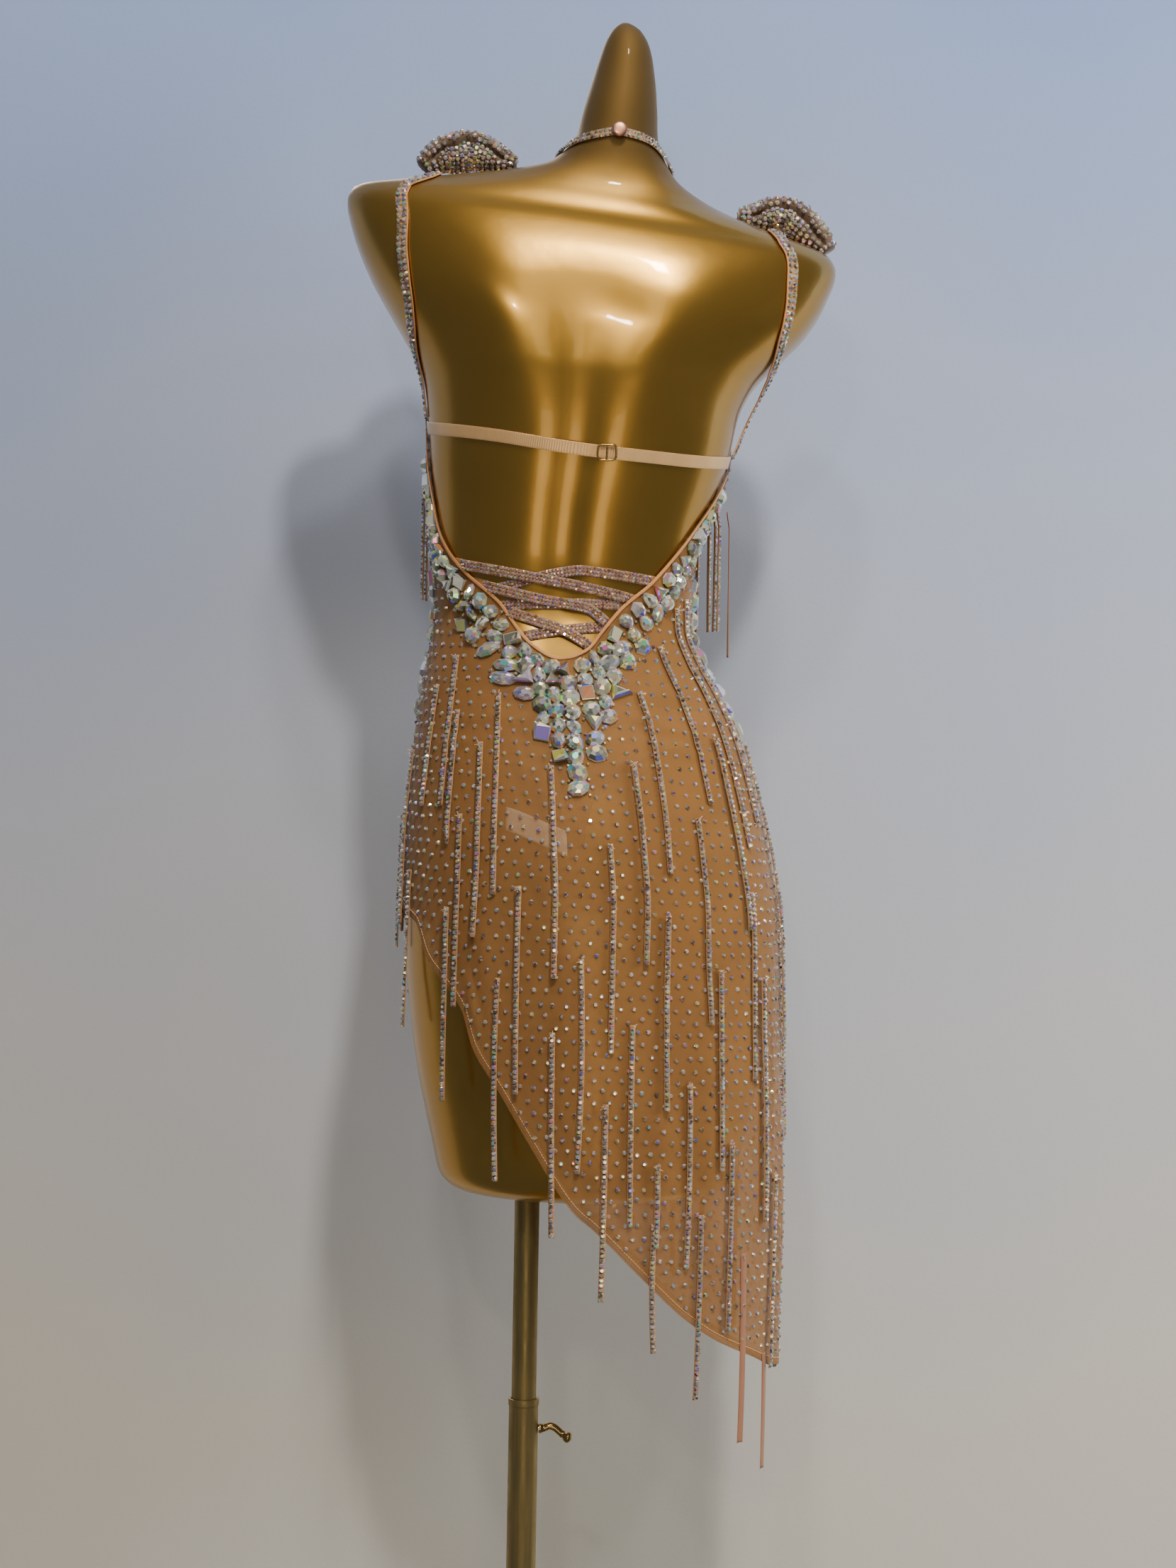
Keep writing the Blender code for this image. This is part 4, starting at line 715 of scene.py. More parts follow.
def ribbon(name, frame_rows, width, thick, finish, closed=False, around=14, replaces=(), lift=0.0,
           offset=0.0):
    """A flat band with rounded edges along a route."""
    centre, side, out, _ = frame_rows
    count = len(centre)
    run = run_along(centre)

    def place(u, v):
        row = np.minimum(np.rint(v * (count if closed else count - 1)).astype(int) % count, count - 1)
        turn = 2 * np.pi * u
        c, s = np.cos(turn), np.sin(turn)
        x = offset + width / 2 * np.copysign(np.abs(c) ** 0.45, c)
        z = lift + thick / 2 * (1 + np.copysign(np.abs(s) ** 0.7, s))
        return centre[row] + side[row] * x[:, None] + out[row] * z[:, None]
    shape = wrapped(around, count if closed else count - 1, place, fill=not closed, size=(2 * width, run[-1]))
    if closed:
        bmesh.ops.recalc_face_normals(shape, faces=shape.faces)
    return keep(name, shape, finish, replaces=replaces)


# %% Hem bands and binding
HEM_WIDE, STITCH_UP = 0.0068, 0.0058  # the turned-up band, and how far above the hem its stitches run
EDGES = (("back", -90, 90), ("front", 90, 270))
for side, start, end in EDGES:
    angle = np.linspace(start + SEAM, end - SEAM, 260)
    hem_route = route(np.column_stack((angle, hem_height(angle) + HEM_WIDE / 2)), 0.0001, dress_section,
                      on_cloth=True)
    ribbon(f"hem_band_{side}", hem_route, HEM_WIDE, 0.0005, skirt_mesh, around=8,
           lift=-0.0004)
angle = np.linspace(-88, 88, 280)
neck_route = route(np.column_stack((angle, neck_height(angle) - 0.0014)), SIT, dress_section, on_cloth=True)
ribbon("neck_binding", neck_route, 0.0027, 0.0008, nude_satin, replaces=["back_neck_binding"])
print("hem", HEM_WIDE * 1000, "mm wide")


# %% Small things set down many times
def tiled(name, prototype, centre, ax, ay, az, finish, slot, tints=None, replaces=(), smooth_it=False):
    """One small shape set down many times: centre and three scaled axes for each, as one joined mesh."""
    points, faces = prototype
    n = len(centre)
    spots = (centre[:, None] + points[None, :, 0:1] * ax[:, None] + points[None, :, 1:2] * ay[:, None]
             + points[None, :, 2:3] * az[:, None])
    order, sizes = np.concatenate(faces), np.array([len(face) for face in faces])
    starts = np.concatenate(([0], np.cumsum(sizes)[:-1]))
    copies = np.arange(n)[:, None]
    mesh = bpy.data.meshes.new(name)
    mesh.vertices.add(n * len(points))
    mesh.loops.add(n * len(order))
    mesh.polygons.add(n * len(faces))
    mesh.vertices.foreach_set("co", spots.astype(np.float32).ravel())
    mesh.loops.foreach_set("vertex_index", (order[None] + len(points) * copies).astype(np.int32).ravel())
    mesh.polygons.foreach_set("loop_start", (starts[None] + len(order) * copies).astype(np.int32).ravel())
    mesh.update(calc_edges=True)
    mesh.validate()
    if smooth_it:
        mesh.shade_smooth()
    else:
        mesh.shade_flat()
    if tints is not None:  # one colour a facet
        corner = np.repeat(tints.reshape(n * len(faces), 4), np.tile(sizes, n), axis=0)
        layer = mesh.color_attributes.new("tint", "FLOAT_COLOR", "CORNER")
        layer.data.foreach_set("color", corner.astype(np.float32).ravel())
    return enrol(name, mesh, finish, replaces=replaces)


def prototype(build):
    """A small shape's points and faces, from bmesh operators."""
    shape = bmesh.new()
    build(shape)
    bmesh.ops.recalc_face_normals(shape, faces=shape.faces)
    shape.verts.index_update()
    points = np.array([corner.co[:] for corner in shape.verts])
    faces = [[corner.index for corner in face.verts] for face in shape.faces]
    shape.free()
    return points, faces


# %% Topstitching
stitch = prototype(lambda shape: bmesh.ops.create_cone(
    shape, cap_ends=True, segments=6, radius1=0.5, radius2=0.5, depth=1))
rows = [], [], [], []
for _, start, end in EDGES:
    angle = np.linspace(start + 0.3, end - 0.3, 2400)
    hem_route = route(np.column_stack((angle, hem_height(angle) + STITCH_UP)), 0.0003, dress_section,
                      on_cloth=True)
    run = run_along(hem_route[0])
    pick = np.searchsorted(run, np.arange(0.001, run[-1], 0.0026))  # a stitch every 2.6 mm
    for kept, row in zip(rows, hem_route):
        kept.append(row[pick])
centre, side, out, ahead = map(np.concatenate, rows)
tiled("hem_topstitching", stitch, centre, side * 0.00045, out * 0.00045, ahead * 0.0018, thread, "nude_satin",
      smooth_it=True)
print("hem stitches:", len(centre))

# %% [markdown]
# ## Foiled glass stones
# A rhinestone is cut glass with a flat silvered back and a rainbow coating on top. At this size it is
# nearly all mirror: every facet shows one bright or dark patch of the room, tinted lilac, blue, green or
# yellow. So the shader is mostly metallic with hardly any roughness, and each facet carries its own tint as
# a colour attribute. Those tints are painted reflections as well: a facet is made lighter or darker at
# random, and a few are given a bright rainbow colour as a painted glint.

# %% Stone material and shapes
glass, tree, shader = surface("foiled lead glass, rainbow coated", Metallic=0.74, Roughness=0.06,
                              Coat_Weight=0.7, Coat_Roughness=0.02)
feed(shader, Base_Color=add(tree, "ShaderNodeVertexColor", layer_name="tint").outputs["Color"])

PALETTE = {  # hex, share of the stones
    "clear": (("bfb3b2", 5), ("d3cac8", 4), ("dcc6be", 4), ("b2b6cc", 1), ("e4deac", 3), ("857870", 3),
              ("fdfaf4", 6)),
    "pink": (("c9a9a6", 5), ("e0c2bc", 4), ("9c7672", 3), ("faeee8", 3), ("c0abd0", 2), ("dcbc86", 1)),
    "large": (("d0d2c8", 5), ("b6bcc8", 3), ("cfc2d6", 3), ("e6e0bc", 4), ("84866f", 3), ("fdfdf6", 6),
              ("c4d8b8", 3)),
}
# colours of the painted glints off the rainbow coating
FLASH = ("4a62ff", "a06cff", "63dcf2", "f6ec62", "8ff0a4", "ff86d2", "ff9c5c", "f2f59a")
DIMMED = {"clear": 0.86, "pink": 0.86, "large": 1.1}  # a factor on each kind's painted facet reflections: the small stones' are made darker, the large ones' lighter
FLASHING = {"clear": 0.12, "pink": 0.12, "large": 0.18}  # the share of facets given a painted glint


def tints(kind, count, faces, seed, spread=0.45):
    """A colour for each facet: the stone's own made lighter or darker as a painted reflection,
    or a flash of the rainbow coating as a painted glint.
    """
    chance = np.random.default_rng(seed)
    codes, shares = zip(*PALETTE[kind])
    table = np.array([colour(code)[:3] for code in codes])
    share = np.array(shares) / sum(shares)
    own = table[chance.choice(len(table), count, p=share)][:, None]
    other = table[chance.choice(len(table), (count, faces), p=share)]
    mix = np.where(chance.random((count, faces)) < 0.45, 1.0, 0.15)[..., None]
    tone = own * (1 - mix) + other * mix
    # painted reflections: each facet is made lighter or darker at random
    tone = tone * (1 - spread + 1.4 * spread * chance.random((count, faces, 1)))
    tone = tone * DIMMED[kind]
    # painted glints: a share of the facets takes a bright rainbow colour
    flashes = np.array([colour(code)[:3] for code in FLASH])[chance.integers(0, len(FLASH), (count, faces))]
    painted_glint = (chance.random((count, faces)) < FLASHING[kind])[..., None]
    tone = np.where(painted_glint, flashes * 0.75 + tone * 0.25, tone)
    return np.concatenate((np.clip(tone, 0, 1), np.ones((count, faces, 1))), axis=2)


print("palettes:", ", ".join(PALETTE))


# %% Setting stones
def turned_by(turn, side, up):
    """Two directions at right angles, both turned by an angle."""
    return side * np.cos(turn) + up * np.sin(turn), up * np.cos(turn) - side * np.sin(turn)


def flat_back(sides, table=0.56, rise=0.38):
    def cut(shape):
        bmesh.ops.create_cone(shape, cap_ends=True, segments=sides, radius1=0.5, radius2=0.5 * table,
                              depth=rise)
        bmesh.ops.translate(shape, verts=shape.verts, vec=(0, 0, rise / 2))
    return prototype(cut)


round_stone = flat_back(8)
small_stone = flat_back(6, table=0.60)


def set_stones(name, centre, out, size, kind, slot, seed, shape=round_stone, **more):
    """Round stones of a given width on their spots, each turned its own way and leaning a little."""
    chance = np.random.default_rng(seed)
    n = len(centre)
    out = unit(out + chance.normal(0, 0.07, (n, 3)))
    side = unit(np.cross(np.array((0.2, 0.1, 1.0)), out))
    up = np.cross(out, side)
    turn = chance.random(n)[:, None] * 2 * np.pi
    wide = (np.broadcast_to(size, n) * chance.uniform(0.94, 1.05, n))[:, None]
    ax, ay = turned_by(turn, side, up)
    return tiled(name, shape, centre, ax * wide, ay * wide, out * wide, glass, slot,
                 tints(kind, n, len(shape[1]), seed + 50), **more)


print("facets of a round stone:", len(round_stone[1]))

# %% [markdown]
# ### The yoke of large stones
# The low back is edged with sew-on stones the size of a fingernail, set edge to edge: drops, lozenges,
# squares, rounds and triangles. They stand in columns below the edge, so their places come from stepping
# down at right angles from the edge, as the solid's own grid does.

# %% Cells of a yoke
DEEPEST = 16  # rows of cells that are stepped down from the edge


def on_flat(angle, height):
    return on_dress(angle, height, 0.0)


def yoke_grid(edge, depths, start, end, top_gap, pitch):
    """Corner points of the cells, as angles and heights, and how many rows each column has."""
    fine = np.linspace(start, end, 400)
    run = run_along(on_flat(fine, edge(fine)))
    count = round(run[-1] / pitch)
    angle = np.interp(np.linspace(0, run[-1], count + 1), run, fine)
    height = edge(angle)
    along = on_flat(angle + 0.5, edge(angle + 0.5)) - on_flat(angle - 0.5, edge(angle - 0.5))
    away = unit(np.cross(along, outward(dress_section, angle, height)))
    off = np.abs(angle - (0 if start < 90 else 180))
    # near the middle and at the sides the columns run straight down, elsewhere at right angles to the edge
    straight = np.maximum(0, np.maximum(1 - np.maximum(0, off - 14) / 16, np.minimum(1, (off - 30) / 55)))
    slope = np.hypot(along[:, 0], along[:, 1]) / np.linalg.norm(along, axis=1)
    drop = top_gap * (1 + straight * (1 / slope - 1))
    a, h, rows = angle.copy(), height.copy(), []
    for _ in range(DEEPEST):
        round_step = (on_flat(a + 0.2, h) - on_flat(a - 0.2, h)) / 0.4
        up_step = (on_flat(a, h + 0.002) - on_flat(a, h - 0.002)) / 0.004
        solved = np.array([np.linalg.lstsq(np.column_stack((r, u)), w * d, rcond=None)[0]
                           for r, u, w, d in zip(round_step, up_step, away, drop)])
        a = np.clip(a + solved[:, 0] * (1 - straight), start, end)
        h = h + solved[:, 1] * (1 - straight) - straight * drop / np.linalg.norm(up_step, axis=1)
        rows.append((a.copy(), h.copy()))
        drop = np.full(len(a), pitch)
    deep = smooth(depths)((angle[:-1] + angle[1:]) / 2)[:, 0]
    deep = np.maximum(1, np.rint(deep / pitch)).astype(int)
    return np.array(rows).transpose(2, 0, 1), np.minimum(deep, DEEPEST - 1)


# %% How deep the yokes reach, and their stones
DEPTH_BACK = (  # angle, how far down from the edge the stones reach
    (-88, 0.013), (-75, 0.022), (-60, 0.022), (-45, 0.028), (-30, 0.034), (-20, 0.046), (-12, 0.065),
    (-6, 0.090), (-1, 0.113), (4, 0.090), (9, 0.066), (16, 0.046), (25, 0.034), (42, 0.026), (60, 0.022),
    (75, 0.020), (88, 0.013),
)
DEPTH_FRONT = (
    (92, 0.150), (101, 0.130), (108, 0.060), (116, 0.030), (150, 0.016), (165, 0.046), (180, 0.090),
    (195, 0.046), (210, 0.016), (244, 0.030), (252, 0.060), (259, 0.130), (268, 0.150),
)


def outline_stone(sides, bend, peak=False):
    """A large flat-backed stone: a low cone's outline bent to a drop, a lozenge or a square, with two rings
    of cut facets above it and either a small table or a point on top."""
    def cut(shape):
        bmesh.ops.create_cone(shape, cap_ends=True, segments=sides, radius1=0.5, radius2=0.49, depth=0.22)
        bmesh.ops.translate(shape, verts=shape.verts, vec=(0, 0, 0.11))
        bmesh.ops.recalc_face_normals(shape, faces=shape.faces)
        for narrow, rise in ((0.68, 0.42), (0.34, 0.20)):
            top = max((f for f in shape.faces if len(f.verts) == sides),
                      key=lambda f: f.calc_center_median().z)
            bmesh.ops.inset_individual(shape, faces=[top], thickness=0.05, depth=0.0, use_even_offset=False)
            top = min((f for f in shape.faces if f.normal.z > 0.99 and len(f.verts) == sides),
                      key=lambda f: f.calc_area())
            middle = sum((c.co for c in top.verts), start=top.verts[0].co * 0) / sides
            wide = max(math.hypot(c.co.x - middle.x, c.co.y - middle.y) for c in top.verts)
            for c in top.verts:
                c.co.x = middle.x + (c.co.x - middle.x) * narrow * 0.5 / wide
                c.co.y = middle.y + (c.co.y - middle.y) * narrow * 0.5 / wide
                c.co.z += rise
        if peak:
            top = min((f for f in shape.faces if len(f.verts) == sides), key=lambda f: f.calc_area())
            bmesh.ops.poke(shape, faces=[top], offset=0.10)
        for corner in shape.verts:
            corner.co.x, corner.co.y = bend(corner.co.x, corner.co.y)
    return prototype(cut)


def drop_bend(x, y):
    return x * (0.80 - 0.62 * (y + 0.1) * (y > -0.1)), y * 1.12 + 0.02


def square_bend(x, y):
    turn = math.atan2(y, x) + math.pi / 4
    far = math.hypot(x, y)
    return far * math.cos(turn) * 1.05, far * math.sin(turn) * 1.05


print("back yoke, at its deepest:", round(1000 * max(deep for _, deep in DEPTH_BACK)), "mm")


# %% Set the yokes
BIG_STONES = (  # share of the stones, shape
    (0.21, outline_stone(8, lambda x, y: (x, y))),
    (0.24, outline_stone(10, drop_bend)),
    (0.09, outline_stone(4, square_bend)),
    (0.13, outline_stone(8, lambda x, y: (x * 0.62, y * 1.16), peak=True)),
    (0.12, outline_stone(3, lambda x, y: (y * 1.20, x * 1.16 - 0.12))),
    (0.12, outline_stone(10, lambda x, y: (x * 0.86, y), peak=True)),
    (0.09, outline_stone(6, lambda x, y: (x * 0.80, y * 1.14))),
)
STONE_TALL, FILLER = 0.0066, 0.0031  # height scale of a large stone and width of the small ones between


def yoke(name, edge, depths, start, end, top_gap, pitch, seed, node):
    grid, deep = yoke_grid(edge, depths, start, end, top_gap, pitch)
    cells = np.array([(i, row) for i, rows in enumerate(deep) for row in range(rows)])
    corner = [grid[cells[:, 0] + i, cells[:, 1] + j] for i, j in ((0, 0), (1, 0), (1, 1), (0, 1))]
    angle, height = sum(corner).T / 4
    flat = [on_dress(c[:, 0], c[:, 1], SIT) for c in corner]
    centre = on_dress(angle, height, SIT * 0.4)
    down = (flat[2] + flat[3] - flat[0] - flat[1]) / 2
    wide = np.linalg.norm((flat[1] + flat[2] - flat[0] - flat[3]) / 2, axis=1)
    tall = np.linalg.norm(down, axis=1)
    out = outward(dress_section, angle, height)
    ay = -down / tall[:, None]
    ax = unit(np.cross(ay, out))
    n = len(cells)
    chance = np.random.default_rng(seed)
    kind = chance.choice(len(BIG_STONES), n, p=[share for share, _ in BIG_STONES])
    flip = np.where(chance.random(n) < 0.4, -1.0, 1.0)[:, None]  # some stand on their heads
    scale = chance.uniform(1.02, 1.24, n)[:, None]
    bx, by = turned_by(chance.normal(0, 0.45, n)[:, None], ax * flip, ay * flip)
    az = unit(out + chance.normal(0, 0.13, (n, 3)))
    for k, (_, shape) in enumerate(BIG_STONES):
        pick = kind == k
        s = scale[pick]
        tiled(f"{name}_{k + 1}", shape, centre[pick], bx[pick] * s * wide[pick, None],
              by[pick] * s * tall[pick, None], az[pick] * s * STONE_TALL, glass, "iridescent_glass",
              tints("large", int(pick.sum()), len(shape[1]), seed + k, 0.62), replaces=[node])
    fill = np.concatenate([grid[cells[:, 0] + i, cells[:, 1] + 1] for i in (1, 0)])
    fill = np.unique(np.round(fill, 5), axis=0)
    set_stones(f"{name}_fillers", on_dress(fill[:, 0], fill[:, 1], SIT),
               outward(dress_section, fill[:, 0], fill[:, 1]), FILLER, "clear", "iridescent_glass", seed + 9,
               small_stone, replaces=[node])
    print(name, "stones:", n, "and", len(fill), "fillers")
    return centre


back_spots = yoke("yoke_back", neck_height, DEPTH_BACK, -87, 87, 0.0050, 0.0130, 11, "crystals_back")
front_spots = yoke("yoke_front", level(UNDERBUST), DEPTH_FRONT, 92.5, 267.5, 0.0010, 0.0165, 23,
                   "crystals_front")

# %% [markdown]
# ### Scattered stones
# Four-millimetre stones are ironed on all over the skirt in staggered rows 10 mm apart, about 11 mm from
# stone to stone; on the cups they sit a little closer. Rows are walked by real length, so the spacing stays
# even where the body narrows. They could be instances of one stone; one joined mesh keeps a tint for every
# facet.

# %% Scattered stones
def scatter(start, end, low, high, clear_of, seed, row_step=0.0098, step=0.0112):
    chance = np.random.default_rng(seed)
    picked = []
    for i, row_height in enumerate(np.arange(0.50, 1.42, row_step)):
        angle = np.linspace(start, end, 500)
        run = run_along(on_flat(angle, row_height))
        stops = np.arange((i % 2) * step / 2 + 0.004, run[-1] - 0.003, step)
        stops = stops + chance.normal(0, 0.0008, len(stops))
        a = np.interp(stops, run, angle)
        h = row_height + chance.normal(0, 0.0009, len(a))
        good = (h > low(a) + 0.009) & (h < high(a) - 0.006)
        picked.append(np.column_stack((a[good], h[good])))
    spots = np.concatenate(picked)
    centre = on_dress(spots[:, 0], spots[:, 1], -0.0001)
    away = np.linalg.norm(centre[:, None] - clear_of[None], axis=2).min(axis=1)
    return spots[away > 0.0088]


FOUR_MM = 0.0041
for name, sink, seed, spots in (  # how far the stone stands off the cloth, seed, angles and heights
    ("scattered_back", -0.0001, 31, scatter(-89.2, 89.2, hem_height, neck_height, back_spots, 3)),
    ("scattered_front", -0.0001, 32, scatter(90.8, 269.2, hem_height, level(UNDERBUST), front_spots, 4)),
    ("scattered_cups", 0.0004, 33, scatter(91, 269, level(UNDERBUST), cup_height, front_spots, 5,
                                           row_step=0.0082, step=0.0090)),
):
    angle, height = spots.T
    set_stones(name, on_dress(angle, height, sink), outward(dress_section, angle, height), FOUR_MM, "clear",
               "stoned_mesh", seed)
    print(name, len(spots))

# %% [markdown]
# ## Fringe
# The fringe is made of single strands, each a 5 mm strip of mesh with one row of stones set edge to edge
# and its top sewn down with a tuft of thread. The strips hang over the scattered stones, one layer over the
# other. Every strip is a grid mapped down the surface, and all of a side's strips are one mesh. Under the
# cups the strands leave the bust at their roots and hang straight down. Curves could draw the strands, but
# a mesh strip has the real width and a place for every stone.

# %% Where the strands hang
FRINGE = {  # node: layer, then angle, top, end of each strand
    "fringe_back_1": (1, (-59, 1.139, 1.036), (-48, 1.165, 1.038), (-26, 1.135, 0.974)),
    "fringe_back_2": (1, (22, 1.146, 1.003), (41, 1.188, 1.062), (58, 1.224, 1.032), (68.5, 1.232, 1.050)),
    "fringe_back_3": (2, (-72, 1.082, 0.940), (-43.5, 1.118, 1.011), (-32, 1.092, 0.938), (-8, 1.078, 0.914)),
    "fringe_back_4": (2, (14, 1.087, 0.931), (51, 1.113, 0.965), (76, 1.110, 0.966)),
    "fringe_back_5": (1, (-80, 1.026, 0.920), (-66, 0.982, 0.861), (-39, 1.032, 0.881), (5, 1.021, 0.854),
                      (34, 1.048, 0.883), (54, 0.992, 0.834), (84, 0.990, 0.775)),
    "fringe_back_6": (2, (-43, 0.957, 0.807), (-18, 0.980, 0.819), (20, 0.968, 0.811), (38, 0.926, 0.759),
                      (58.5, 0.920, 0.715), (79, 0.955, 0.868)),
    "fringe_back_7": (1, (-24, 0.906, 0.749), (-1.5, 0.927, 0.756), (10, 0.877, 0.715), (27, 0.830, 0.679)),
    "fringe_back_8": (2, (-8, 0.867, 0.706), (3.5, 0.812, 0.654), (17, 0.764, 0.700), (42, 0.781, 0.626),
                      (66, 0.751, 0.590)),
    "fringe_back_9": (1, (16.4, 0.714, 0.613), (31, 0.722, 0.574)),
    "fringe_front_1": (2, (103, 1.082, 0.950), (121, 1.120, 0.975), (152, 1.105, 0.950)),
    "fringe_front_2": (2, (205, 1.110, 0.970), (233, 1.110, 0.960), (257, 1.080, 0.930)),
    "fringe_front_3": (1, (97, 1.000, 0.790), (127, 1.030, 0.850), (151, 1.010, 0.860), (174, 1.050, 0.880),
                       (197, 1.036, 0.870), (224, 1.010, 0.870), (249, 1.000, 0.880)),
    "fringe_front_4": (2, (109, 0.950, 0.760), (135, 0.930, 0.740), (164, 0.950, 0.790), (190, 0.955, 0.800),
                       (216, 0.950, 0.815)),
    "fringe_front_5": (1, (117, 0.850, 0.690), (145, 0.845, 0.680), (172, 0.850, 0.710), (201, 0.880, 0.735)),
    "fringe_front_6": (2, (104, 0.745, 0.590), (130, 0.760, 0.600), (155, 0.765, 0.640)),
}
BUST_ANGLES = {
    "fringe_cup_right": (97, 104, 112, 122, 134, 147, 160),
    "fringe_cup_left": (200, 213, 226, 238, 248, 256, 263),
}
PLAIN = {  # node: angle, top, end, whether it hangs free
    "plain_strip_side": (93.0, 1.318, 1.196, True),
    "plain_strip_tail_1": (49.0, 0.687, 0.533, False),
    "plain_strip_tail_2": (63.5, 0.600, 0.505, False),
}
STONE_STEP, STRAND_STONE = 0.0040, 0.0045  # metres from stone to stone down a strand, and a stone's width
STRAND_WIDE, STRIP_THICK = 0.0048, 0.00045
BUST_TOP, BUST_END = 1.318, 1.218  # the strands under the cups


DOWN = (0, 0, -1.0)
print("backings of the fringe:", len(FRINGE), "on the skirt and", len(BUST_ANGLES), "under the cups")


# %% Strands
def draped_strand(angle, top, end, lift, seed):
    """Centres, sides and outward directions down a strand that lies on the skirt, a row for every stone."""
    chance = np.random.default_rng(seed)
    height = top - np.arange(0, top - end + 1e-9, STONE_STEP)
    down = (top - height) / (top - end)
    sway = chance.uniform(-0.55, 0.55) * np.sin(np.pi * down) + chance.uniform(-0.5, 0.5) * down**2
    centre = on_dress(angle + sway, height, lift)
    out = outward(dress_section, angle + sway, height)
    ahead = unit(np.gradient(centre, axis=0))
    side = unit(np.cross(out, ahead))
    twist = np.radians(chance.uniform(-9, 9)) * down**1.5
    out = out * np.cos(twist)[:, None] + side * np.sin(twist)[:, None]
    return centre, np.cross(out, ahead), out, ahead


def free_strand(angle, top, end, lift, seed):
    """A strand that leaves the bust at its root and hangs straight down."""
    chance = np.random.default_rng(seed)
    out = unit(outward(dress_section, angle, top)[0] * (1, 1, 0))
    start = on_dress(angle, top, lift)[0]
    side = np.cross(out, DOWN)
    drop = np.arange(0, top - end + 1e-9, STONE_STEP)
    swing = chance.uniform(-0.002, 0.002) * (drop / (top - end)) ** 2
    centre = start + out * (0.0018 * np.minimum(drop / 0.012, 1))[:, None] + side * swing[:, None]
    centre[:, 2] -= drop
    return centre, *(np.tile(way, (len(drop), 1)) for way in (side, out, DOWN))


skirt_strands = {"back": [], "front": []}
for node, (layer, *roots) in FRINGE.items():
    for angle, top, end in roots:
        lift = 0.0020 + (layer - 1) * 0.0016  # over the scattered stones, and the second layer over the first
        skirt_strands["back" if "back" in node else "front"].append(
            draped_strand(angle, top, end, lift, int(abs(angle) * 100 + top * 1000)))
bust_strands = {node: [free_strand(a, BUST_TOP, BUST_END, 0.0023, int(a)) for a in angles]
                for node, angles in BUST_ANGLES.items()}
print("strands:", sum(map(len, skirt_strands.values())) + sum(map(len, bust_strands.values())))


# %% Strips, their stones and the thread
def strips(name, strands, width, finish, replaces, tail=0.0022, curl=0.0):
    """Strips as one mesh: a grid for each, mapped to its strand and running a little past it."""
    shape = bmesh.new()
    layer = shape.loops.layers.uv.new("UVMap")
    for centre, side, out, ahead in strands:
        centre = np.vstack((centre[:1] - ahead[:1] * tail, centre, centre[-1:] + ahead[-1:] * tail))
        side, out = (np.vstack((rows[:1], rows, rows[-1:])) for rows in (side, out))
        n = len(centre)
        grid = bmesh.ops.create_grid(shape, x_segments=2, y_segments=n - 1, size=0.5)["verts"]
        for corner in grid:
            u, row = corner.co.x * 2, min(int(round((corner.co.y + 0.5) * (n - 1))), n - 1)
            lift = curl * abs(u) * (row / n) ** 2
            for loop in corner.link_loops:
                loop[layer].uv = (u * width / 2, row * STONE_STEP)
            corner.co = centre[row] + side[row] * u * width / 2 + out[row] * lift
    bmesh.ops.recalc_face_normals(shape, faces=shape.faces)
    return thicken(keep(name, shape, finish, sharp=0, replaces=replaces), STRIP_THICK)


# %% Threads and stones of the strands
def tufts(name, strands, seed):
    """Six stiff ends of thread where each strand is sewn down."""
    chance = np.random.default_rng(seed)
    root = np.repeat(np.array([s[0][0] + s[2][0] * 0.0006 for s in strands]), 6, axis=0)
    out, side = (np.repeat(np.array([s[k][0] for s in strands]), 6, axis=0) for k in (2, 1))
    up = np.cross(side, out)
    n = len(root)
    way = unit(out * chance.uniform(0.2, 0.9, n)[:, None] + side * chance.normal(0, 0.8, n)[:, None]
               + up * chance.normal(0.3, 0.8, n)[:, None])
    across = unit(np.cross(way, (0.3, 0.5, 0.81)))
    other = np.cross(way, across)
    length = chance.uniform(0.0022, 0.0050, n)[:, None]
    return tiled(name, stitch, root + way * length / 2, across * 0.00042, other * 0.00042, way * length,
                 thread, "nude_satin", smooth_it=True)


def stones_on(name, rows, size, kind, seed, replaces, lift=STRIP_THICK, shape=small_stone):
    """Stones along rows of centres, sides and outward directions."""
    centre, out = (np.concatenate([row[k] for row in rows]) for k in (0, 2))
    return set_stones(name, centre + out * lift, out, size, kind, "stoned_mesh", seed, shape,
                      replaces=replaces)


def stoned_strips(name, strands, seed, nodes):
    """Strips and stones; {} in the name stands for either."""
    strips(name.format("strips"), strands, STRAND_WIDE, strip_mesh, nodes)
    stones_on(name.format("stones"), strands, STRAND_STONE, "clear", seed, nodes)


for side, strands in skirt_strands.items():
    nodes = [node for node in FRINGE if side in node]
    stoned_strips("fringe_{}_" + side, strands, 60 + len(strands), nodes)
    tufts(f"fringe_threads_{side}", strands, 70)
for node, strands in bust_strands.items():
    stoned_strips(node.replace("fringe", "{}"), strands, 80 + len(node), [node])
for node, (angle, top, end, free) in PLAIN.items():
    strand = (free_strand(angle, top, end, 0.0103, 9) if free else draped_strand(angle, top, end, 0.0006, 10))
    strips(node.replace("plain", "bare"), [strand], 0.0062, bare_mesh, [node], curl=0.0012)
print("plain strips:", len(PLAIN))

# %% [markdown]
# ## Straps, lacing and choker
# Most of these are bands of mesh, folded flat and covered with two or three rows of stones. The shoulder
# straps also show a narrow edge of plain satin on their inner side, and the bra strap is plain ribbed
# elastic. Each is a route over the body with a ribbon led along it and rows of stones on top. It is the
# ribbon of the hem again, because it keeps a band flat on the body.

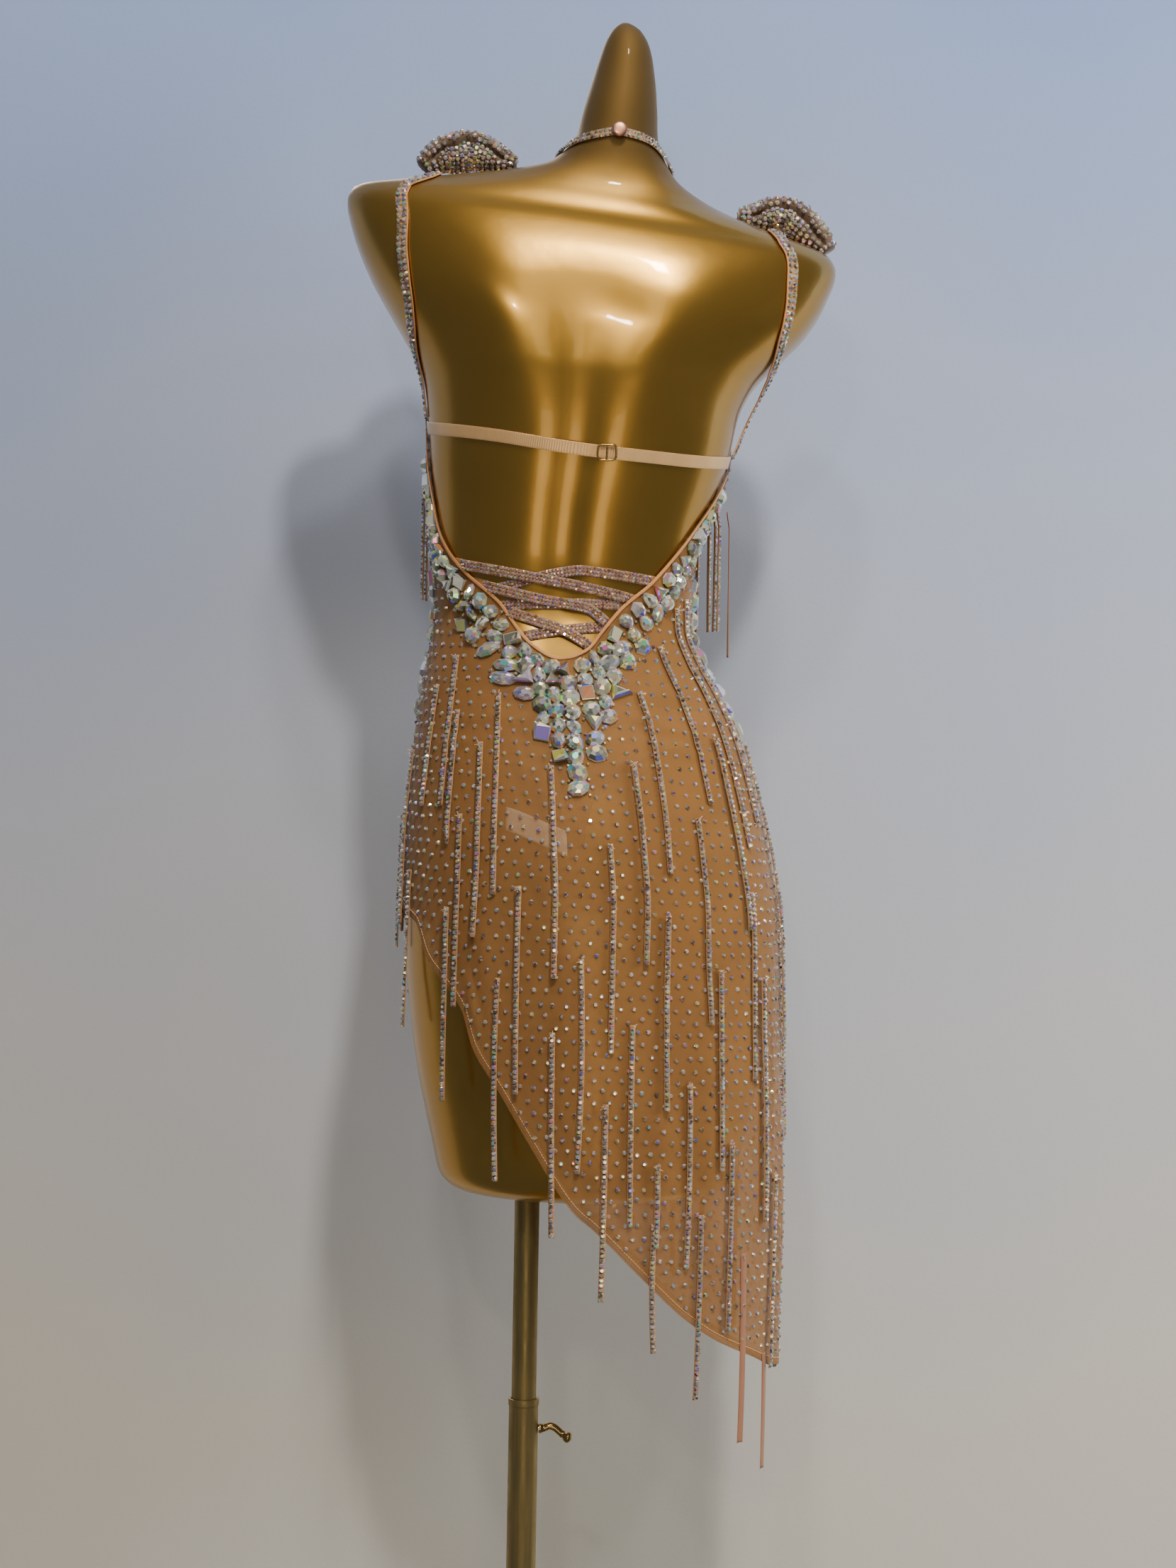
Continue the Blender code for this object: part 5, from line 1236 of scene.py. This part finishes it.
# %% Where the bands run
STRAP_LEFT = (  # angle, height, how far it stands off the body
    (-86.5, 1.368, 0), (-84, 1.390, 0), (-76, 1.416, 0), (-62.6, 1.4396, 0), (-53.6, 1.4637, 0),
    (-48.8, 1.490, 0), (-45.3, 1.5195, 0), (-46.8, 1.5450, 0), (-53, 1.5545, 0), (-66, 1.5605, 0),
    (-90, 1.5625, 0), (-114, 1.5605, 0), (-127, 1.5545, 0), (-134, 1.5450, 0), (-136, 1.520, 0),
    (-134, 1.490, 0), (-131, 1.460, 0), (-129, 1.432, 0), (-128, 1.4040, 0),
)
STRAP_RIGHT = (
    (88, 1.360, 0.001), (90, 1.376, 0.004), (90, 1.396, 0.007), (89, 1.416, 0.007), (84, 1.430, 0.004),
    (76, 1.441, 0.001), (63, 1.4632, 0), (55.4, 1.492, 0), (50.3, 1.5234, 0), (48.5, 1.5445, 0),
    (56, 1.5525, 0), (67, 1.556, 0), (90, 1.5575, 0), (113, 1.556, 0), (124, 1.5525, 0), (131.5, 1.5445, 0),
    (133, 1.520, 0), (132, 1.490, 0), (130, 1.460, 0), (128.5, 1.432, 0), (128, 1.4040, 0),
)
BRA_STRAP = (
    (-85, 1.3586, 0), (-80, 1.3568, 0), (-29, 1.3488, 0), (9, 1.3434, 0), (37, 1.3449, 0), (76, 1.3522, 0),
    (84, 1.3545, 0),
)
CHOKER = (
    (0, 1.6150, 0), (45, 1.6120, 0), (90, 1.5990, 0), (135, 1.5900, 0), (180, 1.5870, 0), (225, 1.5900, 0),
    (270, 1.5990, 0), (315, 1.6080, 0), (360, 1.6150, 0),
)
LACES = {  # layer, then angle and height of each point
    "lacing_1": (2, (-43.5, 1.2428), (-18.5, 1.2390), (2.8, 1.2348), (24.0, 1.2296)),
    "lacing_2": (1, (35.5, 1.2460), (7.1, 1.2473), (-6.3, 1.2391)),
    "lacing_3": (2, (-25.0, 1.2250), (-6.4, 1.2199), (8.2, 1.2166), (15.5, 1.2075)),
    "lacing_4": (1, (20.5, 1.2220), (6.0, 1.2197), (-10.1, 1.2157)),
    "lacing_5": (2, (-16.0, 1.2050), (-1.8, 1.1971), (5.0, 1.1880)),
    "lacing_6": (1, (11.5, 1.2010), (5.5, 1.1990), (-8.5, 1.1912)),
}
print("lacing straps:", len(LACES))


# %% Bands
LAYER = 0.0022  # how much higher the upper layer of lacing lies
TUCK = 0.0050  # how far a lace's end runs on under the bound edge


def evenly(frame_rows, step, margin):
    """The rows of a route that lie step apart along it, found by linear mixing."""
    run = run_along(frame_rows[0])
    count = max(2, int((run[-1] - 2 * margin) / step) + 1)
    at = np.linspace(margin, run[-1] - margin, count)
    return [np.column_stack([np.interp(at, run, rows[:, k]) for k in range(3)]) for rows in frame_rows]


def columns_of(rows, count, gap, step, margin):
    """Rows of stones side by side along a band, a gap apart."""
    picks = []
    for k in range(count):
        centre, side, out, ahead = evenly(rows, step, margin)
        picks.append((centre + side * (k - (count - 1) / 2) * gap, side, out))
    return picks


def stoned_band(name, rows, width, size, step, seed, gap, closed=False):
    """A folded band of mesh with two rows of stones on it."""
    ribbon(f"{name}_band", rows, width, BAND_THICK, strip_mesh, closed=closed, replaces=[name])
    if closed:
        rows = [np.vstack((r, r[:1])) for r in rows]
    stones_on(f"{name}_stones", columns_of(rows, 2, gap, step, 0.0018), size, "clear", seed, [name],
              lift=BAND_THICK, shape=round_stone)


# %% Lay the bands
BAND_THICK, LACE_THICK = 0.0008, 0.0006
for name, table, inner in (("shoulder_strap_left", STRAP_LEFT, -1), ("shoulder_strap_right", STRAP_RIGHT, 1)):
    rows = route(catmull(table, 150), CLEAR)
    stoned_band(name, rows, 0.0100, 0.0049, 0.0050, 90 + len(name), 0.0048)
    ribbon(f"{name}_piping", rows, 0.0013, 0.0013, nude_satin, around=8, offset=0.0050 * inner)
for name, (layer, *points) in LACES.items():
    path = rising([(a, h, 0) for a, h in points], 40)
    for end, step in ((0, path[0] - path[2]), (-1, path[-1] - path[-3])):  # on under the bound edge
        more = path[end] + np.arange(1, 60)[:, None] * step * 0.25
        more = more[:np.argmax(more[:, 1] < neck_height(more[:, 0]) - TUCK) + 1]
        path = np.vstack((more[::-1], path)) if end == 0 else np.vstack((path, more))
    edge = np.clip((path[:, 1] - neck_height(path[:, 0])) / 0.006, 0, 1)
    path[:, 2] = -(0.0007 + (layer - 1) * LAYER) * (1 - edge * edge * (3 - 2 * edge))
    rows = route(path, CLEAR + (layer - 1) * LAYER)
    ribbon(f"{name}_band", rows, 0.0088, LACE_THICK, strip_mesh, replaces=[name])
    picks = columns_of([r[edge > 0.12] for r in rows], 3, 0.0029, 0.0030, 0.0006)
    stones_on(f"{name}_stones", picks, 0.0031, "pink", 100 + int(name[-1]), [name], lift=LACE_THICK,
              shape=round_stone)
choker_rows = route(rising(CHOKER, 161)[:-1], CLEAR + 0.0004, closed=True)
stoned_band("choker", choker_rows, 0.0076, 0.0039, 0.0040, 120, 0.0038, closed=True)
ribbon("bra_strap_elastic", route(rising(BRA_STRAP, 120), CLEAR), 0.0105, 0.0010, strap_satin,
       around=18, replaces=["bra_strap"])
print("bands:", 2 + len(LACES) + 2)

# %% [markdown]
# ## Shoulder rolls
# On each shoulder sits a stuffed roll of the same mesh, tied so that it bulges in two lobes with a deep
# slit between them. It is a tube lying along the shoulder, whose radius dips along a line on its back, and
# rings of stones go round it except in the slit. The left roll arches up in its middle. A simulation could
# puff it up, but a rule puts the two lobes and the slit where they belong.

# %% Rolls
ROLLS = (  # name, side, inner end, outer end, where the strap passes under it, arch
    ("shoulder_roll_left", -1, -0.026, -0.104, -0.098, 0.006),
    ("shoulder_roll_right", 1, 0.166, 0.242, 0.205, 0.0),
)
SLIT_WIDE, SLIT_DEEP = 0.12, 0.60  # width as a sine of the half turn, depth as a share of the radius
RING_STEP, ROLL_STONE = 0.0535, 0.0047  # rings along the roll as a share of its length, and a stone's width


def roll_radius(t):
    """Blunt at the arm and drawn out to a tail towards the neck."""
    return 0.0042 + 0.0129 * np.sin(np.pi * (t * 0.96 + 0.02) ** 1.25) ** 0.62


def from_slit(sign, t, turn):
    """How far round the roll a point is from its slit, which lies lower on the back at the middle."""
    return np.sin((turn - sign * (np.pi - 0.85 * np.sin(np.pi * t) + 0.25)) / 2)


def roll_surface(sign, inner, outer, strap, arch):
    """The roll's skin: a rule from t along it and turn round it to its middle line and how far out it is."""
    line = body(form_section, sign * 90.0, np.linspace(1.5300, 1.5950, 400))
    line = line[np.argsort(line[:, 0])]

    def at(t, turn):
        x = inner + (outer - inner) * t
        radius = roll_radius(t)
        over = 0.0001 + 0.0042 * np.exp(-(((x - strap) / 0.018) ** 4)) + arch * np.sin(np.pi * t) ** 2
        low = np.interp(x, line[:, 0], line[:, 2])
        centre = np.stack((x, 0.008 * np.sin(np.pi * t), low + radius + over), axis=1)
        slit = np.exp(-((from_slit(sign, t, turn) / SLIT_WIDE) ** 2))
        fold = 0.02 * np.sin(5 * turn + 9 * t)
        return centre, radius * (1.0 - SLIT_DEEP * slit * np.sin(np.pi * t) ** 0.4 + fold - 0.04)
    return at


def roll_points(at, t, turn):
    centre, far = at(t, turn)
    step = 0.004
    ahead = unit(at(np.clip(t + step, 0, 1), turn)[0] - at(np.clip(t - step, 0, 1), turn)[0])
    level_way = unit(np.array((0, 1.0, 0)) - ahead * ahead[:, 1:2])
    other = np.cross(ahead, level_way)
    return centre + far[:, None] * (level_way * np.cos(turn)[:, None] + other * np.sin(turn)[:, None])


print("a roll at its thickest:", round(2000 * float(roll_radius(0.56)), 1), "mm")


# %% Pads and stones of the rolls
roll_mesh = knit("beaded mesh over wadding", "3c2d24", "66513f", 0.0016, 1.0, sheen=0.2, rough=0.7)
for name, sign, inner, outer, strap, arch in ROLLS:
    at = roll_surface(sign, inner, outer, strap, arch)
    shape = wrapped(60, 70, lambda u, v: roll_points(at, v, 2 * np.pi * u), fill=True, size=(0.1, 0.09))
    bmesh.ops.recalc_face_normals(shape, faces=shape.faces)
    keep(f"{name}_pad", shape, roll_mesh, sharp=0, replaces=[name])
    t, turn = [], []
    for k, station in enumerate(np.arange(0.02, 0.99, RING_STEP)):
        count = max(5, int(2 * math.pi * roll_radius(station) / 0.0043))
        t += [station] * count
        turn += list((np.arange(count) + (k % 2) * 0.5) * 2 * math.pi / count)
    t, turn = np.array(t), np.array(turn)
    away = (np.abs(from_slit(sign, t, turn)) > 0.115) | (t < 0.12) | (t > 0.93)
    t, turn = t[away], turn[away]
    spot = roll_points(at, t, turn)
    out = unit(np.cross(roll_points(at, t, turn + 0.02) - spot, roll_points(at, t + 0.004, turn) - spot))
    out *= np.sign(np.sum(out * (spot - at(t, turn)[0]), axis=1))[:, None]
    set_stones(f"{name}_stones", spot, out, ROLL_STONE, "clear", "stoned_mesh", 130 + sign, replaces=[name])
    print(name, "stones:", len(spot))

# %% [markdown]
# ## Metal parts
# The stand is steel tube, polished and lacquered to a dull gilt; its base is a heavy plate. Anything turned
# is a profile spun round the pole's axis with the spin operator. The lever and the slider are round rods
# led along a line, which a bevelled curve could also be, and the snap is a small plated pressing.

# %% Metals
def gilt(name, code_dark, code_light, rough, grain, metal=1.0):
    """Plated or lacquered metal: fine lines along its height, and duller patches where hands wear it."""
    made, tree, shader = surface(name, Metallic=metal, Roughness=rough)
    spot = add(tree, "ShaderNodeTexCoord").outputs["Object"]
    stretch = add(tree, "ShaderNodeMapping", {"Vector": spot, "Scale": (1, 1, 0.04)})
    lines = add(tree, "ShaderNodeTexNoise", {"Vector": stretch.outputs[0], "Scale": grain, "Detail": 3.0})
    tone = add(tree, "ShaderNodeMix", {
        "Factor": lines.outputs["Fac"], 6: colour(code_dark), 7: colour(code_light)}, data_type="RGBA")
    wear = add(tree, "ShaderNodeTexNoise", {"Vector": spot, "Scale": 35.0, "Detail": 5.0, "Roughness": 0.7})
    worn = add(tree, "ShaderNodeMapRange", {"Value": wear.outputs["Fac"], "From Min": 0.35, "From Max": 0.75,
                                            "To Min": rough * 0.8, "To Max": rough * 1.7})
    bump = add(tree, "ShaderNodeBump", {"Height": lines.outputs["Fac"], "Strength": 0.06, "Distance": 0.0004})
    feed(shader, Base_Color=tone.outputs[2], Roughness=worn.outputs[0], Normal=bump.outputs[0])
    return made


tube_gilt = gilt("gilt lacquered steel tube, polished along its length", "80704a", "a3905f", 0.40, 420.0,
                 metal=0.85)
plate_gilt = gilt("gilt powder-coated steel plate", "7c6430", "98803f", 0.38, 60.0)
rose_plate = gilt("rose gold plated brass", "d79a80", "ecb69c", 0.32, 300.0)
pale_plate = gilt("pale gold plated zinc", "a88a52", "cbb078", 0.20, 300.0)
print("metals:", ", ".join(made.name for made in (tube_gilt, plate_gilt, rose_plate, pale_plate)))


# %% Base, sleeve and pole
def turned(name, profile, finish, body_name, node, soft, steps=96):
    """A closed profile of radius and height spun round the Z axis, its edges softened."""
    shape = bmesh.new()
    corners = [shape.verts.new((radius, 0, height)) for radius, height in profile]
    edges = [shape.edges.new((a, b)) for a, b in zip(corners, corners[1:] + corners[:1])]
    on_axis = [edge for edge in edges if all(c.co.x == 0 for c in edge.verts)]
    edges = [edge for edge in edges if edge not in on_axis]
    for edge in on_axis:
        shape.edges.remove(edge)
    bmesh.ops.spin(shape, geom=corners + edges, cent=(0, 0, 0), axis=(0, 0, 1), angle=2 * math.pi,
                   steps=steps, use_merge=True)
    bmesh.ops.remove_doubles(shape, verts=shape.verts, dist=1e-6)
    bmesh.ops.recalc_face_normals(shape, faces=shape.faces)
    ring = [edge for edge in shape.edges if len(edge.link_faces) == 2 and edge.calc_face_angle() > 0.6]
    bmesh.ops.bevel(shape, geom=ring, offset=soft, offset_type="OFFSET", affect="EDGES", segments=3,
                    profile=0.5, material=-1, clamp_overlap=True)
    return keep(name, shape, finish, body_name, sharp=35, replaces=[node])


SLEEVE, COLLAR, BORE, POLE = 0.0125, 0.0131, 0.0108, 0.0105  # radii
FOOT, TOP, LIP = 0.0143, 0.5475, 0.0055  # heights: the sleeve's foot and top, and how tall its collar is
turned("stand_base_plate",
       ((0, 0), (0.190, 0), (0.190, 0.006), (0.186, 0.010), (0.024, 0.014), (0.021, 0.052), (0.0128, 0.052),
        (0.0128, 0.014), (0, 0.014)), plate_gilt, "stand", "stand_base", soft=0.0010)
turned("stand_outer_tube",
       ((SLEEVE, FOOT), (SLEEVE, TOP - 0.0060), (COLLAR, TOP - LIP), (COLLAR, TOP), (BORE, TOP),
        (BORE, FOOT)), tube_gilt, "stand", "stand_sleeve", soft=0.0003)
turned("stand_inner_pole", ((0, 0.390), (POLE, 0.390), (POLE, 0.7212), (0, 0.7212)), tube_gilt,
       "form", "stand_pole", soft=0.0004)


print("the pole stands in the sleeve for", round(TOP - 0.390, 4), "m")


# %% Lever
def rod(name, points, radii, finish, body_name, replaces=(), around=20, along=60, closed=False):
    """A round rod through points, its radius given at each of them."""
    line = catmull(points, along + (0 if closed else 1), closed)
    radius = np.interp(np.linspace(0, 1, len(line)), np.linspace(0, 1, len(radii)), radii)
    ahead = steps_ahead(line, closed)
    ref = np.array((0, 1.0, 0)) if abs(ahead[:, 1]).max() < 0.9 else np.array((0.3, 0.2, 1.0))
    flat = unit(np.cross(ahead, ref))
    other = np.cross(ahead, flat)

    def place(u, v):
        row = np.rint(v * along).astype(int) % len(line)
        turn = 2 * np.pi * u[:, None]
        return line[row] + radius[row, None] * (flat[row] * np.cos(turn) + other[row] * np.sin(turn))
    shape = wrapped(around, along, place, fill=not closed)
    bmesh.ops.recalc_face_normals(shape, faces=shape.faces)
    return keep(name, shape, finish, body_name, replaces=replaces)


LEVER = (  # points along its middle
    (0.0129, 0, 0.5217), (0.0175, 0, 0.5222), (0.0220, 0, 0.5240), (0.0270, 0, 0.5225), (0.0330, 0, 0.5175),
    (0.0375, 0, 0.5146), (0.0410, 0, 0.5128))
SHANK = [0.0041, 0.0041, 0.0040, 0.0036, 0.0032] + [0.0031] * 11 + [0.0030, 0.0034]  # radii up to the ball
BALL = [max(0.0008, 0.0047 * math.sin(math.acos(-0.82 + 1.80 * k / 7))) for k in range(8)]
rod("stand_clamp_lever", LEVER, SHANK + BALL, pale_plate, "lever", ["stand_lever"], along=110,
    around=24)


print("the lever reaches", LEVER[-1][0], "m out from the pole's middle")

# %% Snap and slider
def set_on(angle, height, lift):
    """A spot on the form with its directions: sideways, up and outwards."""
    out = outward(form_section, angle, height)[0]
    side = unit(np.cross((0, 0, 1.0), out))
    return lifted(form_section, angle, height, lift)[0], side, np.cross(out, side), out


SNAP = np.array((  # radius and rise of the cap, from its rim to its middle
    (0.0, 0.0), (0.0059, 0.0), (0.0065, 0.0006), (0.0065, 0.0014), (0.0062, 0.0020), (0.0055, 0.0024),
    (0.0044, 0.0027), (0.0030, 0.0029), (0.0015, 0.0030), (0.0, 0.0030)))
centre, side, up, out = set_on(2.0, 1.6150, CLEAR + 0.0004 + 0.0022 + 0.0006)


def snap_place(u, v):
    row = v * (len(SNAP) - 1)
    radius, rise = (np.interp(row, range(len(SNAP)), column)[:, None] for column in SNAP.T)
    turn = 2 * np.pi * u[:, None]
    return centre + out * rise + radius * (up * np.sin(turn) - side * np.cos(turn))


shape = wrapped(32, len(SNAP) - 1, snap_place)
bmesh.ops.recalc_face_normals(shape, faces=shape.faces)
keep("choker_snap_cap", shape, rose_plate, replaces=["choker_snap"])

HALF_WIDE, HALF_TALL = 0.0076, 0.0062  # the slider's frame, a rounded oblong
centre, side, up, out = set_on(9.0, 1.3434, CLEAR + 0.0010 + 0.0006 + 0.0007)
turn = np.linspace(0, 2 * np.pi, 24, endpoint=False)
wide, tall = (np.copysign(np.abs(way) ** 0.45, way) * half
              for way, half in ((np.cos(turn), HALF_WIDE), (np.sin(turn), HALF_TALL)))
rod("bra_slider_frame", centre + wide[:, None] * side + tall[:, None] * up, (0.00085,), pale_plate,
    "form", ["bra_slider"], around=10, along=72, closed=True)
bar = [centre + up * y + out * 0.0002 for y in (-0.0060, -0.002, 0.002, 0.0060)]
rod("bra_slider_bar", bar, (0.0008,) * 4, pale_plate, "form", ["bra_slider"], around=10,
    along=12)
print("metal pieces:", 7)
